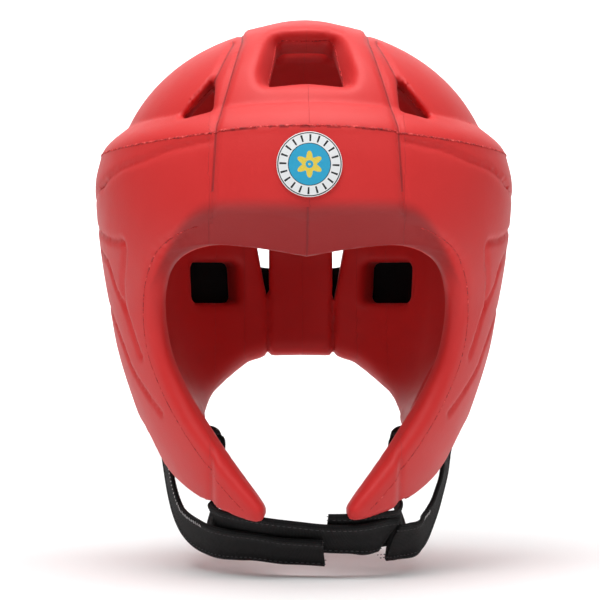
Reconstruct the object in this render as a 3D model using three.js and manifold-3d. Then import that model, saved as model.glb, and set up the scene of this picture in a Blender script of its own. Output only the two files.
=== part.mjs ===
// An open-face martial-arts headguard: one thick foam shell, a forehead patch, a rear band and
// a two-part chin strap. Millimetres, +Z up, the face looks along -Y, and the origin is where
// the top of the head touches the inside of the crown.
import * as THREE from 'three';
import Module from 'manifold-3d';
import { mergeVertices } from 'three/addons/utils/BufferGeometryUtils.js';

const wasm = await Module();
wasm.setup();

// Overall sizes of the foam shell
const halfWidth = 110;
const domeHalfWidth = 100.5;
const frontReach = 130;
const domeFrontReach = 119;
const backReach = 122;
const shoulderDrop = 84;
const cheekDrop = 261;

// Ridge over the brow: how far it runs down to the ears and to the back, how soft its turn is
// over the nose, and how high the dome's step above it reaches in front and fades behind
const sideDroop = 9;
const backDroop = 12;
const droopSoftness = 0.14;
const ledgeHeight = 12.5;
const ledgeFadeHeight = 46;

// Foam thickness
const crownFoam = 16.5;
const sideFoam = 25;
const browFoam = 28;
const napeFoam = 21;

// Face opening
const rimBevel = 9;
const browBevel = 20;
const rimDepth = 17;

// Centre panel over the crown and brow
const panelRise = 1.6;
const panelTopWidth = 62;
const panelBrowWidth = 92;
const panelBackWidth = 60;

// Lines pressed into the foam
const grooveDepth = 1.6;
const grooveWidth = 3.2;

// Vents
const frontVentWidth = 39;
const frontVentHeight = 25;
const frontVentFlare = 7;
const frontVentLevel = 0.158;
const frontVentLean = 1.05;
const frontVentMouth = 0.64;
const sideVentWidth = 16;
const sideVentHeight = 18;
const sideVentFlare = 4;
const sideVentLevel = 0.215;
const sideVentLean = 0.75;
const sideVentMouth = 0.58;
const topVentWidth = 26;
const topVentLength = 50;

// Back of the shell
const tongueWidth = 36;
const slitWidth = 8;
const slitCut = 1;
const slitTopDrop = 78;
const slitTaperLevel = 0.42;
const slitCloseLevel = 0.565;
const tongueDrop = 181;
const wingHoleWidth = 32;
const wingHoleHeight = 26;
const wingHoleTurn = 25;
const wingHoleAcross = 0.47;
const wingHoleLevel = 0.517;
const earHollowDepth = 5.5;
const earHollowRadius = 34;
const earLevel = 0.53;

// Chin-strap slots: room at the ends of the strap's width, height, slope and place
const slotRoom = 4;
const slotHeight = 6;
const slotSlope = 18;
const slotReach = 0.09;
const slotLevel = 0.8335;
const slotSeatWidth = 0.648;

// Bands and patch
const strapWidth = 25;
const strapThickness = 2.4;
const bandWidth = 40;
const bandThickness = 2.6;
const bandEnd = 0.8;
const bandLevel = 0.572;
const bandRise = 26;
const badgeRadius = 16;
const badgeThickness = 1.1;
const badgeShift = 0.8;
const badgeLevel = 0.309;
const seatGap = 0.4;

// Rings of the dome, in degrees from the crown, and roundness exponents of its side and plan
const domeSteps = [4, 10, 17, 24, 31, 38, 45, 52, 59, 67];
const hollowSteps = [6, 16, 27, 38, 50, 62, 75];
const domeSquare = 2.2;
const domeCorner = 2.1;

const ringPoints = 56;
const shoulder = crownFoam - shoulderDrop;

// Outer sections below the dome. level: share of cheekDrop below the crown top. width, front
// and back: shares of halfWidth, frontReach and backReach. corner: roundness exponent.
const outerSections = [
  { level: 0.236, width: 0.972, front: 0.985, back: 0.972, corner: 2.15 },
  { level: 0.29, width: 1, front: 1, back: 0.994, corner: 2.2 },
  { level: 0.36, width: 0.993, front: 1.006, back: 1, corner: 2.25 },
  { level: 0.42, width: 0.978, front: 0.995, back: 1, corner: 2.25 },
  { level: 0.475, width: 0.96, front: 0.95, back: 0.99, corner: 2.25 },
  { level: 0.535, width: 0.935, front: 0.87, back: 0.97, corner: 2.25 },
  { level: 0.63, width: 0.893, front: 0.81, back: 0.93, corner: 2.25 },
  { level: 0.735, width: 0.815, front: 0.795, back: 0.88, corner: 2.25 },
  { level: 0.80, width: 0.752, front: 0.79, back: 0.84, corner: 2.25 },
  { level: 0.86, width: 0.675, front: 0.785, back: 0.80, corner: 2.2 },
  { level: 0.92, width: 0.585, front: 0.775, back: 0.75, corner: 2.2 },
  { level: 0.97, width: 0.50, front: 0.755, back: 0.70, corner: 2.2 },
  { level: 1.03, width: 0.40, front: 0.72, back: 0.62, corner: 2.2 },
];

// Inner sections of the head hollow. side, brow and nape: what the wall takes from the outer
// section at that level, as shares of sideFoam, browFoam and napeFoam.
const hollowSections = [
  { level: 0.36, side: 1.18, brow: 1.07, nape: 1.02, corner: 2.45 },
  { level: 0.475, side: 1.06, brow: 0.82, nape: 1.0, corner: 2.6 },
  { level: 0.57, side: 0.94, brow: 0.44, nape: 1.0, corner: 2.6 },
  { level: 0.66, side: 0.98, brow: 0.36, nape: 1.0, corner: 2.5 },
  { level: 0.74, side: 1.12, brow: 0.38, nape: 1.05, corner: 2.4 },
  { level: 0.80, side: 1.12, brow: 0.42, nape: 1.1, corner: 2.3 },
  { level: 0.87, side: 0.76, brow: 0.46, nape: 1.1, corner: 2.2 },
  { level: 0.94, side: 0.64, brow: 0.48, nape: 1.1, corner: 2.2 },
  { level: 1.05, side: 0.56, brow: 0.50, nape: 1.1, corner: 2.2 },
];

// Half of the face opening seen from the front, from the middle of the brow down to the cheek
// tip. across: share of halfWidth. level: share of cheekDrop. reach: where the rim's outer
// line lies, as a share of frontReach. rim and bevel: shares of rimBevel and browBevel that
// the opening widens towards the front.
const faceOpening = [
  { across: 0, level: 0.479, reach: 0.82, rim: 0, bevel: 1.05 },
  { across: 0.19, level: 0.465, reach: 0.82, rim: 0, bevel: 1.0 },
  { across: 0.36, level: 0.457, reach: 0.80, rim: 0, bevel: 1.08 },
  { across: 0.45, level: 0.46, reach: 0.78, rim: 0.12, bevel: 1.12 },
  { across: 0.54, level: 0.474, reach: 0.74, rim: 0.45, bevel: 0.95 },
  { across: 0.59, level: 0.496, reach: 0.70, rim: 0.8, bevel: 0.7 },
  { across: 0.62, level: 0.534, reach: 0.65, rim: 0.92, bevel: 0.5 },
  { across: 0.629, level: 0.57, reach: 0.61, rim: 0.95, bevel: 0.4 },
  { across: 0.627, level: 0.613, reach: 0.60, rim: 0.95, bevel: 0.4 },
  { across: 0.609, level: 0.663, reach: 0.60, rim: 0.92, bevel: 0.4 },
  { across: 0.562, level: 0.716, reach: 0.61, rim: 0.9, bevel: 0.4 },
  { across: 0.50, level: 0.766, reach: 0.63, rim: 0.9, bevel: 0.4 },
  { across: 0.418, level: 0.82, reach: 0.66, rim: 0.9, bevel: 0.4 },
  { across: 0.344, level: 0.862, reach: 0.69, rim: 0.88, bevel: 0.4 },
  { across: 0.255, level: 0.912, reach: 0.72, rim: 0.75, bevel: 0.4 },
  { across: 0.195, level: 0.946, reach: 0.73, rim: 0.6, bevel: 0.4 },
  { across: 0.173, level: 0.972, reach: 0.73, rim: 0.5, bevel: 0.4 },
  { across: 0.185, level: 1.06, reach: 0.73, rim: 0.5, bevel: 0.4 },
];

// Lower edge of the shell seen from the side, from the front to the back. reach: share of
// frontReach ahead of the ear line, negative behind it.
const lowerEdge = [
  { reach: 1.2, level: 0.996 },
  { reach: 0.72, level: 0.99 },
  { reach: 0.61, level: 0.975 },
  { reach: 0.49, level: 0.948 },
  { reach: 0.35, level: 0.922 },
  { reach: 0.2, level: 0.891 },
  { reach: 0.04, level: 0.862 },
  { reach: -0.11, level: 0.836 },
  { reach: -0.31, level: 0.8 },
  { reach: -0.43, level: 0.775 },
  { reach: -0.55, level: 0.757 },
  { reach: -0.68, level: 0.748 },
  { reach: -1.2, level: 0.735 },
];

// Half of the arch in the lower edge over the nape, seen from behind.
const napeArch = [
  { across: 0, level: 0.683 },
  { across: 0.19, level: 0.685 },
  { across: 0.27, level: 0.695 },
  { across: 0.333, level: 0.716 },
  { across: 0.375, level: 0.735 },
  { across: 0.41, level: 0.762 },
  { across: 0.435, level: 0.8 },
  { across: 0.44, level: 0.9 },
];

// Lines pressed into the foam. across: share of halfWidth, as seen from the front. reach:
// share of frontReach ahead of the ear line, as seen from the side.
const visorLine = [
  { across: 0.44, level: 0.262 },
  { across: 0.51, level: 0.268 },
  { across: 0.62, level: 0.277 },
  { across: 0.727, level: 0.293 },
  { across: 0.836, level: 0.306 },
  { across: 0.905, level: 0.322 },
  { across: 0.945, level: 0.337 },
];
const templeLine = [
  { reach: 0.40, level: 0.331 },
  { reach: 0.15, level: 0.355 },
  { reach: -0.15, level: 0.395 },
  { reach: -0.36, level: 0.45 },
];
const earLine = [
  { reach: -0.1, level: 0.40 },
  { reach: 0.15, level: 0.42 },
  { reach: 0.44, level: 0.442 },
  { reach: 0.57, level: 0.45 },
  { reach: 0.54, level: 0.487 },
  { reach: 0.47, level: 0.53 },
  { reach: 0.42, level: 0.573 },
];
const jawLine = [
  { reach: 0.12, level: 0.46 },
  { reach: 0.34, level: 0.486 },
  { reach: 0.38, level: 0.536 },
  { reach: 0.425, level: 0.58 },
  { reach: 0.44, level: 0.62 },
  { reach: 0.455, level: 0.67 },
];
const neckLine = [
  { reach: 0, level: 0.56 },
  { reach: 0.17, level: 0.586 },
  { reach: 0.25, level: 0.612 },
  { reach: 0.31, level: 0.654 },
  { reach: 0.33, level: 0.689 },
  { reach: 0.365, level: 0.714 },
  { reach: 0.48, level: 0.781 },
];

// Middle lines of the chin straps. across, reach and level are the same shares; lean is how
// far the rear edge of the strap dips, in degrees.
const leftStrap = [
  { across: 0.28, reach: 0.545, level: 1.024, lean: 23 },
  { across: 0.19, reach: 0.573, level: 1.028, lean: 23 },
  { across: 0.09, reach: 0.585, level: 1.028, lean: 23 },
  { across: -0.045, reach: 0.585, level: 1.022, lean: 23 },
  { across: -0.19, reach: 0.569, level: 1.013, lean: 22 },
  { across: -0.29, reach: 0.525, level: 1.004, lean: 20 },
  { across: -0.37, reach: 0.465, level: 0.993, lean: 16 },
  { across: -0.415, reach: 0.385, level: 0.981, lean: 6 },
  { across: -0.425, reach: 0.30, level: 0.959, lean: -6 },
  { across: -0.41, reach: 0.215, level: 0.925, lean: -14 },
  { across: -0.408, reach: 0.145, level: 0.885, lean: -18 },
  { across: -0.408, reach: 0.10, level: 0.850, lean: -18 },
  { across: -0.434, reach: 0.092, level: 0.836, lean: -18 },
  { across: -0.50, reach: 0.09, level: 0.8335, lean: -18 },
  { across: -0.56, reach: 0.09, level: 0.8335, lean: -18 },
  { across: -0.62, reach: 0.09, level: 0.8335, lean: -18 },
  { across: -0.65, reach: 0.092, level: 0.84, lean: -18 },
  { across: -0.661, reach: 0.098, level: 0.862, lean: -16 },
  { across: -0.647, reach: 0.118, level: 0.897, lean: -10 },
  { across: -0.613, reach: 0.158, level: 0.936, lean: 0 },
  { across: -0.556, reach: 0.222, level: 0.973, lean: 8 },
  { across: -0.492, reach: 0.30, level: 0.998, lean: 13 },
  { across: -0.42, reach: 0.372, level: 1.016, lean: 17 },
  { across: -0.335, reach: 0.432, level: 1.027, lean: 19 },
  { across: -0.235, reach: 0.478, level: 1.035, lean: 20 },
  { across: -0.11, reach: 0.513, level: 1.046, lean: 20 },
  { across: 0, reach: 0.53, level: 1.05, lean: 20 },
  { across: 0.082, reach: 0.538, level: 1.053, lean: 20 },
];
const rightStrap = [
  { across: 0.096, reach: 0.60, level: 1.009, lean: 23 },
  { across: 0.2, reach: 0.592, level: 1.008, lean: 23 },
  { across: 0.31, reach: 0.54, level: 1.003, lean: 21 },
  { across: 0.385, reach: 0.465, level: 0.996, lean: 16 },
  { across: 0.43, reach: 0.385, level: 0.979, lean: 6 },
  { across: 0.44, reach: 0.30, level: 0.957, lean: -6 },
  { across: 0.425, reach: 0.215, level: 0.925, lean: -14 },
  { across: 0.425, reach: 0.145, level: 0.885, lean: -18 },
  { across: 0.43, reach: 0.102, level: 0.852, lean: -18 },
  { across: 0.455, reach: 0.093, level: 0.8365, lean: -18 },
  { across: 0.51, reach: 0.09, level: 0.8335, lean: -18 },
  { across: 0.56, reach: 0.09, level: 0.8335, lean: -18 },
  { across: 0.62, reach: 0.09, level: 0.8335, lean: -18 },
  { across: 0.662, reach: 0.092, level: 0.84, lean: -18 },
  { across: 0.68, reach: 0.098, level: 0.862, lean: -16 },
  { across: 0.673, reach: 0.115, level: 0.895, lean: -10 },
  { across: 0.642, reach: 0.145, level: 0.925, lean: -3 },
  { across: 0.60, reach: 0.19, level: 0.957, lean: 4 },
  { across: 0.565, reach: 0.245, level: 0.983, lean: 10 },
  { across: 0.52, reach: 0.318, level: 1.005, lean: 16 },
  { across: 0.446, reach: 0.395, level: 1.019, lean: 20 },
  { across: 0.384, reach: 0.455, level: 1.026, lean: 22 },
];

const material = (hex, roughness) =>
  new THREE.MeshStandardMaterial({ color: hex, roughness, metalness: 0 });

const foamRed = material(0xc8282b, 0.6);
const webbingBlack = material(0x141416, 0.85);
const elasticBlack = material(0x101012, 0.9);
const patchWhite = material(0xeef0f2, 0.5);

const clamp = THREE.MathUtils.clamp;
const radians = THREE.MathUtils.degToRad;
const heightAt = (level) => crownFoam - level * cheekDrop;

// A solid that manifold-3d can cut, from a closed three.js geometry.
function solidOf(geometry) {
  const bare = geometry.clone();
  bare.deleteAttribute('normal');
  bare.deleteAttribute('uv');
  const merged = mergeVertices(bare, 1e-4);
  const mesh = new wasm.Mesh({
    numProp: 3,
    vertProperties: new Float32Array(merged.attributes.position.array),
    triVerts: new Uint32Array(merged.index.array),
  });
  return new wasm.Manifold(mesh);
}

// A three.js mesh from a finished solid.
function meshOf(name, solid, finish) {
  const { vertProperties, triVerts } = solid.getMesh();
  const geometry = new THREE.BufferGeometry();
  geometry.setAttribute('position', new THREE.BufferAttribute(vertProperties, 3));
  geometry.setIndex(new THREE.BufferAttribute(triVerts, 1));
  geometry.computeVertexNormals();
  const mesh = new THREE.Mesh(geometry, finish);
  mesh.name = name;
  return mesh;
}

// A closed body through loops of equal length, its two ends closed by fans.
function loft(loops) {
  const count = loops[0].length;
  const points = loops.flat();
  const centre = (loop) =>
    loop.reduce((sum, p) => sum.clone().add(p), new THREE.Vector3()).divideScalar(count);
  const startTip = points.push(centre(loops[0])) - 1;
  const endTip = points.push(centre(loops[loops.length - 1])) - 1;
  const faces = [];
  for (let ring = 0; ring + 1 < loops.length; ring += 1) {
    for (let i = 0; i < count; i += 1) {
      const next = (i + 1) % count;
      const a = ring * count;
      const b = a + count;
      faces.push([a + i, a + next, b + next], [a + i, b + next, b + i]);
    }
  }
  const last = (loops.length - 1) * count;
  for (let i = 0; i < count; i += 1) {
    const next = (i + 1) % count;
    faces.push([startTip, next, i], [endTip, last + i, last + next]);
  }
  return bodyFromFaces(points, faces);
}

// Faces are turned outwards by the sign of the enclosed volume.
function bodyFromFaces(points, faces) {
  let volume = 0;
  for (const [a, b, c] of faces) {
    volume += points[a].dot(new THREE.Vector3().crossVectors(points[b], points[c]));
  }
  const outward = volume > 0 ? faces : faces.map(([a, b, c]) => [a, c, b]);
  const geometry = new THREE.BufferGeometry().setFromPoints(points);
  geometry.setIndex(outward.flat());
  return solidOf(geometry);
}

// Smooth reading of one column of a table at a level between its rows.
function readColumn(rows, column, at, key = 'level') {
  const last = rows.length - 1;
  const rising = rows[last][key] > rows[0][key];
  let i = 0;
  while (i < last - 1 && (rising ? at > rows[i + 1][key] : at < rows[i + 1][key])) i += 1;
  const span = rows[i + 1][key] - rows[i][key];
  const t = clamp((at - rows[i][key]) / span, 0, 1);
  const slope = (j) => {
    const before = rows[Math.max(j - 1, 0)];
    const after = rows[Math.min(j + 1, last)];
    return ((after[column] - before[column]) / (after[key] - before[key])) * span;
  };
  const t2 = t * t;
  const t3 = t2 * t;
  return (2 * t3 - 3 * t2 + 1) * rows[i][column] + (t3 - 2 * t2 + t) * slope(i)
    + (3 * t2 - 2 * t3) * rows[i + 1][column] + (t3 - t2) * slope(i + 1);
}

// How far a section sags at an angle from the front: the ridge runs down towards the ears.
function droopAt(angle) {
  const soft = (value) => Math.hypot(value, droopSoftness) - droopSoftness;
  const side = soft(Math.sin(angle)) / soft(1);
  const behind = Math.max(0, -Math.cos(angle));
  return sideDroop * Math.max(side, behind) + (backDroop - sideDroop) * behind;
}

// One rounded plan curve with its own reach to the front and to the back.
function planLoop({ width, front, back, corner, height, sag }, grow = 0) {
  const power = 2 / corner;
  return Array.from({ length: ringPoints }, (_, i) => {
    const angle = (2 * Math.PI * i) / ringPoints;
    const s = Math.sin(angle);
    const c = Math.cos(angle);
    const reach = (c > 0 ? front : back) + grow;
    const x = (width + grow) * Math.sign(s) * Math.abs(s) ** power;
    const y = -reach * Math.sign(c) * Math.abs(c) ** power;
    return new THREE.Vector3(x, y, height - sag * droopAt(angle));
  });
}

// Part of the visor's flare that a point of the dome takes: the ledge is crisp round the face
// and melts into a slope behind the ears.
function ledgeShare(angle, height) {
  const behind = clamp((-Math.cos(angle) - 0.05) / 0.75, 0, 1);
  const ridge = heightAt(outerSections[0].level);
  const top = ridge + ledgeHeight + ledgeFadeHeight * behind * behind * (3 - 2 * behind);
  return clamp((top - height) / (top - ridge), 0, 1);
}

// The outer form of the shell, grown outwards by a small amount where asked.
function outerForm(grow = 0) {
  const loops = domeSteps.map((step) => {
    const share = Math.sin(radians(step)) ** (2 / domeSquare);
    const rise = Math.cos(radians(step)) ** (2 / domeSquare);
    const height = shoulder + (shoulderDrop + grow) * rise;
    const dome = {
      width: domeHalfWidth * share,
      front: domeFrontReach * share,
      back: backReach * share,
      corner: domeCorner,
      height,
      sag: share,
    };
    const widen = halfWidth / domeHalfWidth - 1;
    const lengthen = frontReach / domeFrontReach - 1;
    return planLoop(dome, grow * share).map((point, i) => {
      const angle = (2 * Math.PI * i) / ringPoints;
      const flare = ledgeShare(angle, height);
      point.x *= 1 + widen * flare;
      point.y *= 1 + (point.y < 0 ? lengthen * flare : 0);
      return point;
    });
  });
  for (const row of outerSections) {
    loops.push(planLoop({
      width: row.width * halfWidth,
      front: row.front * frontReach,
      back: row.back * backReach,
      corner: row.corner,
      height: heightAt(row.level),
      sag: 1,
    }, grow));
  }
  return loft(loops);
}

// The hollow that the head fills, open below.
function headHollow() {
  const loops = [];
  const reachAt = (row) => ({
    width: readColumn(outerSections, 'width', row.level) * halfWidth - row.side * sideFoam,
    front: readColumn(outerSections, 'front', row.level) * frontReach - row.brow * browFoam,
    back: readColumn(outerSections, 'back', row.level) * backReach - row.nape * napeFoam,
  });
  const top = reachAt(hollowSections[0]);
  const base = heightAt(hollowSections[0].level);
  const crownCorner = (share) => domeCorner + (hollowSections[0].corner - domeCorner) * share;
  for (const step of hollowSteps) {
    const share = Math.sin(radians(step));
    loops.push(planLoop({
      width: top.width * share,
      front: top.front * share,
      back: top.back * share,
      corner: crownCorner(share),
      height: base - base * Math.cos(radians(step)),
      sag: 0,
    }));
  }
  for (const row of hollowSections) {
    loops.push(planLoop({ ...reachAt(row), corner: row.corner, height: heightAt(row.level), sag: 0 }));
  }
  return loft(loops);
}

// Rows of a table read smoothly between them, as a list with more rows.
function refine(rows, perRow) {
  const numbered = rows.map((row, i) => ({ ...row, place: i }));
  const columns = Object.keys(rows[0]);
  const count = (rows.length - 1) * perRow;
  return Array.from({ length: count + 1 }, (_, i) => {
    const read = (name) => [name, readColumn(numbered, name, i / perRow, 'place')];
    return Object.fromEntries(columns.map(read));
  });
}

// The whole outline of the face opening, widened by shares of the rim and brow bevels.
function faceLoop(rimShare, bevelShare, depthAt) {
  const rows = refine(faceOpening, 2);
  const half = rows.map((row, i) => {
    const before = rows[Math.max(i - 1, 0)];
    const after = rows[Math.min(i + 1, rows.length - 1)];
    const along = new THREE.Vector2(
      (after.across - before.across) * halfWidth,
      (before.level - after.level) * cheekDrop,
    ).normalize();
    const widen = row.rim * rimBevel * rimShare + row.bevel * browBevel * bevelShare;
    const x = i === 0 ? 0 : row.across * halfWidth - along.y * widen;
    const z = heightAt(row.level) + (i === 0 ? widen : along.x * widen);
    return new THREE.Vector3(x, depthAt(row), z);
  });
  const mirrored = half.slice(1).reverse().map((p) => new THREE.Vector3(-p.x, p.y, p.z));
  return [...half, ...mirrored];
}

// What the face looks out of: narrow inside, flared at the rim and bevelled under the brow.
function faceCutter() {
  const rimPlane = (row) => -row.reach * frontReach;
  const frontPlane = -1.015 * frontReach;
  const beyond = 1.5 * browBevel;
  const flare = (share) => (row) => rimPlane(row) + (frontPlane - rimPlane(row)) * share;
  return loft([
    faceLoop(0, 0, () => -0.2 * frontReach),
    faceLoop(0, 0, (row) => rimPlane(row) + rimDepth),
    faceLoop(0.35, 0, (row) => rimPlane(row) + rimDepth * 0.45),
    faceLoop(1, 0, rimPlane),
    faceLoop(1, 0.5, flare(0.5)),
    faceLoop(1, 1, flare(1)),
    faceLoop(1, 1.1, () => frontPlane - beyond),
  ]);
}

// A straight-sided body from an outline in the XY plane, then turned and placed.
function prism(outline, length, { at = [0, 0, 0], turn = [0, 0, 0], taper = 1 } = {}) {
  const place = new THREE.Matrix4().compose(
    new THREE.Vector3(...at),
    new THREE.Quaternion().setFromEuler(new THREE.Euler(...turn.map(radians), 'ZYX')),
    new THREE.Vector3(1, 1, 1),
  );
  const ring = (height, scale) =>
    outline.map(([x, y]) => new THREE.Vector3(x * scale, y * scale, height).applyMatrix4(place));
  return loft([ring(-length / 2, taper), ring(length / 2, 1)]);
}

// Corner points rounded by short arcs.
function rounded(corners, radius, steps = 3) {
  const out = [];
  corners.forEach((corner, i) => {
    const here = new THREE.Vector2(...corner);
    const before = new THREE.Vector2(...corners[(i + corners.length - 1) % corners.length]);
    const after = new THREE.Vector2(...corners[(i + 1) % corners.length]);
    const start = here.clone().add(before.sub(here).setLength(radius));
    const end = here.clone().add(after.sub(here).setLength(radius));
    const curve = new THREE.QuadraticBezierCurve(start, here, end);
    out.push(...curve.getPoints(steps).map((p) => [p.x, p.y]));
  });
  return out;
}

// The part of the foam below the lower edge, taken away across the whole width.
function belowEdge() {
  const levels = lowerEdge.map((row) => [-row.reach * frontReach, heightAt(row.level)]);
  const floor = heightAt(1.2);
  const outline = [...levels, [1.2 * frontReach, floor], [-1.2 * frontReach, floor]];
  const side = (x) => outline.map(([y, z]) => new THREE.Vector3(x, y, z));
  return loftFlat(side(-1.3 * halfWidth), side(1.3 * halfWidth));
}

// A body between two equal flat outlines that may be hollow-sided.
function loftFlat(first, second) {
  const flat = first.map((p) => new THREE.Vector2(p.y, p.z));
  const caps = THREE.ShapeUtils.triangulateShape(flat, []);
  const count = first.length;
  const faces = caps.map(([a, b, c]) => [a, b, c]);
  faces.push(...caps.map(([a, b, c]) => [c + count, b + count, a + count]));
  const turned = THREE.ShapeUtils.isClockWise(flat);
  for (let i = 0; i < count; i += 1) {
    const next = (i + 1) % count;
    const quad = [[i, i + count, next + count], [i, next + count, next]];
    faces.push(...(turned ? quad.map(([a, b, c]) => [a, c, b]) : quad));
  }
  return bodyFromFaces([...first, ...second], faces);
}

// A vent seen from the front. x and z: its narrow inner outline. fx and fz: how far each corner
// flares outwards. Its mouths lie in planes that lean back with the dome.
function vent(corners, { radius, mouth, foam, lean, side = 1 }) {
  const loop = (flare, depth, lift) => {
    const outline = corners.map(({ x, z, fx, fz }) => [x + fx * flare, z + fz * flare]);
    const points = rounded(outline, radius);
    return points.map(([x, z]) => new THREE.Vector3(side * x, mouth + depth + lean * z, z + lift));
  };
  const run = 1.45 * foam;
  const ahead = loop(1.5, -0.6 * foam, 0);
  return loft([ahead, loop(1, 0, 0), loop(0, foam, 0), loop(0, foam + run, 0.4 * run)]);
}

// Front crown vent: a funnel through the foam, open wide to the sides and above.
function frontVent() {
  const low = heightAt(frontVentLevel);
  const high = low + frontVentHeight;
  const half = frontVentWidth / 2;
  const upper = 0.7 * half;
  const flare = frontVentFlare;
  const corners = [
    { x: -half, z: low, fx: -0.6 * flare, fz: 0 },
    { x: 0, z: low + 0.1 * frontVentHeight, fx: 0, fz: 0 },
    { x: half, z: low, fx: 0.6 * flare, fz: 0 },
    { x: upper, z: high, fx: 0.7 * flare, fz: flare },
    { x: -upper, z: high, fx: -0.7 * flare, fz: flare },
  ];
  const radius = 0.16 * frontVentHeight;
  const mouth = -frontVentMouth * domeFrontReach;
  return vent(corners, { radius, mouth, foam: 1.25 * crownFoam, lean: frontVentLean });
}

// Vent over the very top of the head, narrow in front.
function topVent() {
  const half = topVentWidth / 2;
  const long = topVentLength / 2;
  const corners = [[-0.7 * half, -long], [0.7 * half, -long], [half, long], [-half, long]];
  const at = [0, -0.05 * backReach, crownFoam / 2];
  return prism(rounded(corners, 0.23 * topVentWidth), 3.6 * crownFoam, { at, taper: 0.92 });
}

// Three-cornered vent beside the centre panel, for either side.
function sideVent(side) {
  const inside = panelBrowWidth / 2;
  const low = heightAt(sideVentLevel);
  const flare = sideVentFlare;
  const corners = [
    { x: inside, z: low + sideVentHeight, fx: 0, fz: flare },
    { x: inside + 0.094 * sideVentWidth, z: low + flare, fx: -0.2 * flare, fz: 0 },
    { x: inside + sideVentWidth, z: low, fx: flare, fz: 0 },
  ];
  const radius = 0.14 * sideVentHeight;
  const mouth = -sideVentMouth * domeFrontReach;
  const foam = 1.3 * crownFoam;
  return vent(corners, { radius, mouth, foam, lean: sideVentLean, side });
}

// A flat outline drawn on the XZ plane and pushed along Y.
function sweepBack(outline, from, to) {
  const at = (y) => outline.map(([x, z]) => new THREE.Vector3(y, x, z));
  const swap = [0, 1, 0, 0, 1, 0, 0, 0, 0, 0, 1, 0, 0, 0, 0, 1];
  return loftFlat(at(from), at(to)).transform(swap);
}

// Slits that free the centre tongue: wide above, drawn together below.
function tongueSlit(side) {
  const inner = tongueWidth / 2;
  const top = crownFoam - slitTopDrop;
  const closing = heightAt(slitCloseLevel);
  const below = heightAt(0.8);
  const bend = 0.375 * slitWidth;
  const outline = [
    [inner, below], [inner, top - bend], [inner + bend, top], [inner + slitWidth - bend, top],
    [inner + slitWidth, top - bend], [inner + slitWidth, heightAt(slitTaperLevel)],
    [inner + slitCut, closing], [inner + slitCut, below],
  ];
  return sweepBack(outline.map(([x, z]) => [side * x, z]), 0.3 * backReach, 1.2 * backReach);
}

// Foam missing below the nape: an arch between the wings, with the tongue ending in it.
function napeCut() {
  const half = napeArch.map((row) => [row.across * halfWidth, heightAt(row.level)]);
  const arch = [...half.slice(1).reverse().map(([x, z]) => [-x, z]), ...half];
  const tongue = tongueWidth / 2 + slitCut / 2;
  const low = crownFoam - tongueDrop;
  const tip = [[-tongue, heightAt(0.8)], [-tongue, low], [tongue, low], [tongue, heightAt(0.8)]];
  const rear = (outline) => sweepBack(outline, 0.3 * backReach, 1.2 * backReach);
  return rear(arch).add(rear(tip));
}

// Square hole through each rear wing, under the elastic band.
function wingHole(side) {
  const half = wingHoleWidth / 2;
  const high = wingHoleHeight / 2;
  const bend = wingHoleWidth / 8;
  const hole = rounded([[-half, -high], [half, -high], [half, high], [-half, high]], bend);
  const at = [side * wingHoleAcross * halfWidth, 0.77 * backReach, heightAt(wingHoleLevel)];
  return prism(hole, 2.8 * sideFoam, { at, turn: [90, 0, -side * wingHoleTurn] });
}

// A rounded rectangle on one side wall, turned by the slope of the slot, pushed along X.
function sideCut(side, { length, below, above, corner, from, to, leanIn = 0 }) {
  const half = length / 2;
  const corners = [[-half, -below], [half, -below], [half, above], [-half, above]];
  const slope = radians(slotSlope);
  const outline = rounded(corners, corner, 2).map(([along, up]) => [
    -slotReach * frontReach + along * Math.cos(slope) - up * Math.sin(slope),
    heightAt(slotLevel) + along * Math.sin(slope) + up * Math.cos(slope),
    leanIn * up,
  ]);
  const at = (x) => outline.map(([y, z, shift]) => new THREE.Vector3(side * (x + shift), y, z));
  return loft([at(from), at(to)]);
}

// Slot low in each cheek guard for the chin strap, with a shallow seat for the strap below it.
function strapSlot(side) {
  const high = slotHeight / 2;
  const length = strapWidth + slotRoom;
  const hole = { length, below: high, above: high, corner: 0.4 * slotHeight };
  const slot = sideCut(side, { ...hole, from: 0.3 * halfWidth, to: 1.2 * halfWidth });
  const seat = {
    length: length + 0.75 * slotRoom,
    below: 0.8 * strapWidth,
    above: 0.28 * strapWidth,
    corner: 0.2 * strapWidth,
    leanIn: 0.27,
  };
  const floor = slotSeatWidth * halfWidth;
  return slot.add(sideCut(side, { ...seat, from: floor, to: floor + 0.8 * sideFoam }));
}

// A strip along a line drawn on the front or the side of the shell.
function strip(line, width) {
  const left = [];
  const right = [];
  line.forEach(([x, y], i) => {
    const [x0, y0] = line[Math.max(i - 1, 0)];
    const [x1, y1] = line[Math.min(i + 1, line.length - 1)];
    const normal = new THREE.Vector2(y0 - y1, x1 - x0).setLength(width / 2);
    left.push([x + normal.x, y + normal.y]);
    right.unshift([x - normal.x, y - normal.y]);
  });
  return [...left, ...right];
}

// Raised band over the brow, the crown and the back, between the two centre creases.
function centrePanel() {
  const top = 1.6 * crownFoam;
  const crease = crownFoam - 0.18 * shoulderDrop;
  const band = (rows) => [...rows.map(([x, z]) => [-x, z]), ...rows.reverse()];
  const front = band([
    [panelTopWidth / 2, top], [panelTopWidth / 2, crease],
    [0.47 * panelBrowWidth, heightAt(0.236)], [panelBrowWidth / 2, heightAt(0.42)],
  ]);
  const back = band([
    [panelTopWidth / 2, top], [panelTopWidth / 2, crease],
    [panelBackWidth / 2, heightAt(0.3)], [panelBackWidth / 2, heightAt(0.8)],
  ]);
  const blocks = sweepBack(front, -1.3 * frontReach, 0).add(sweepBack(back, 0, 1.3 * backReach));
  return blocks.intersect(outerForm(panelRise));
}

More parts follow.
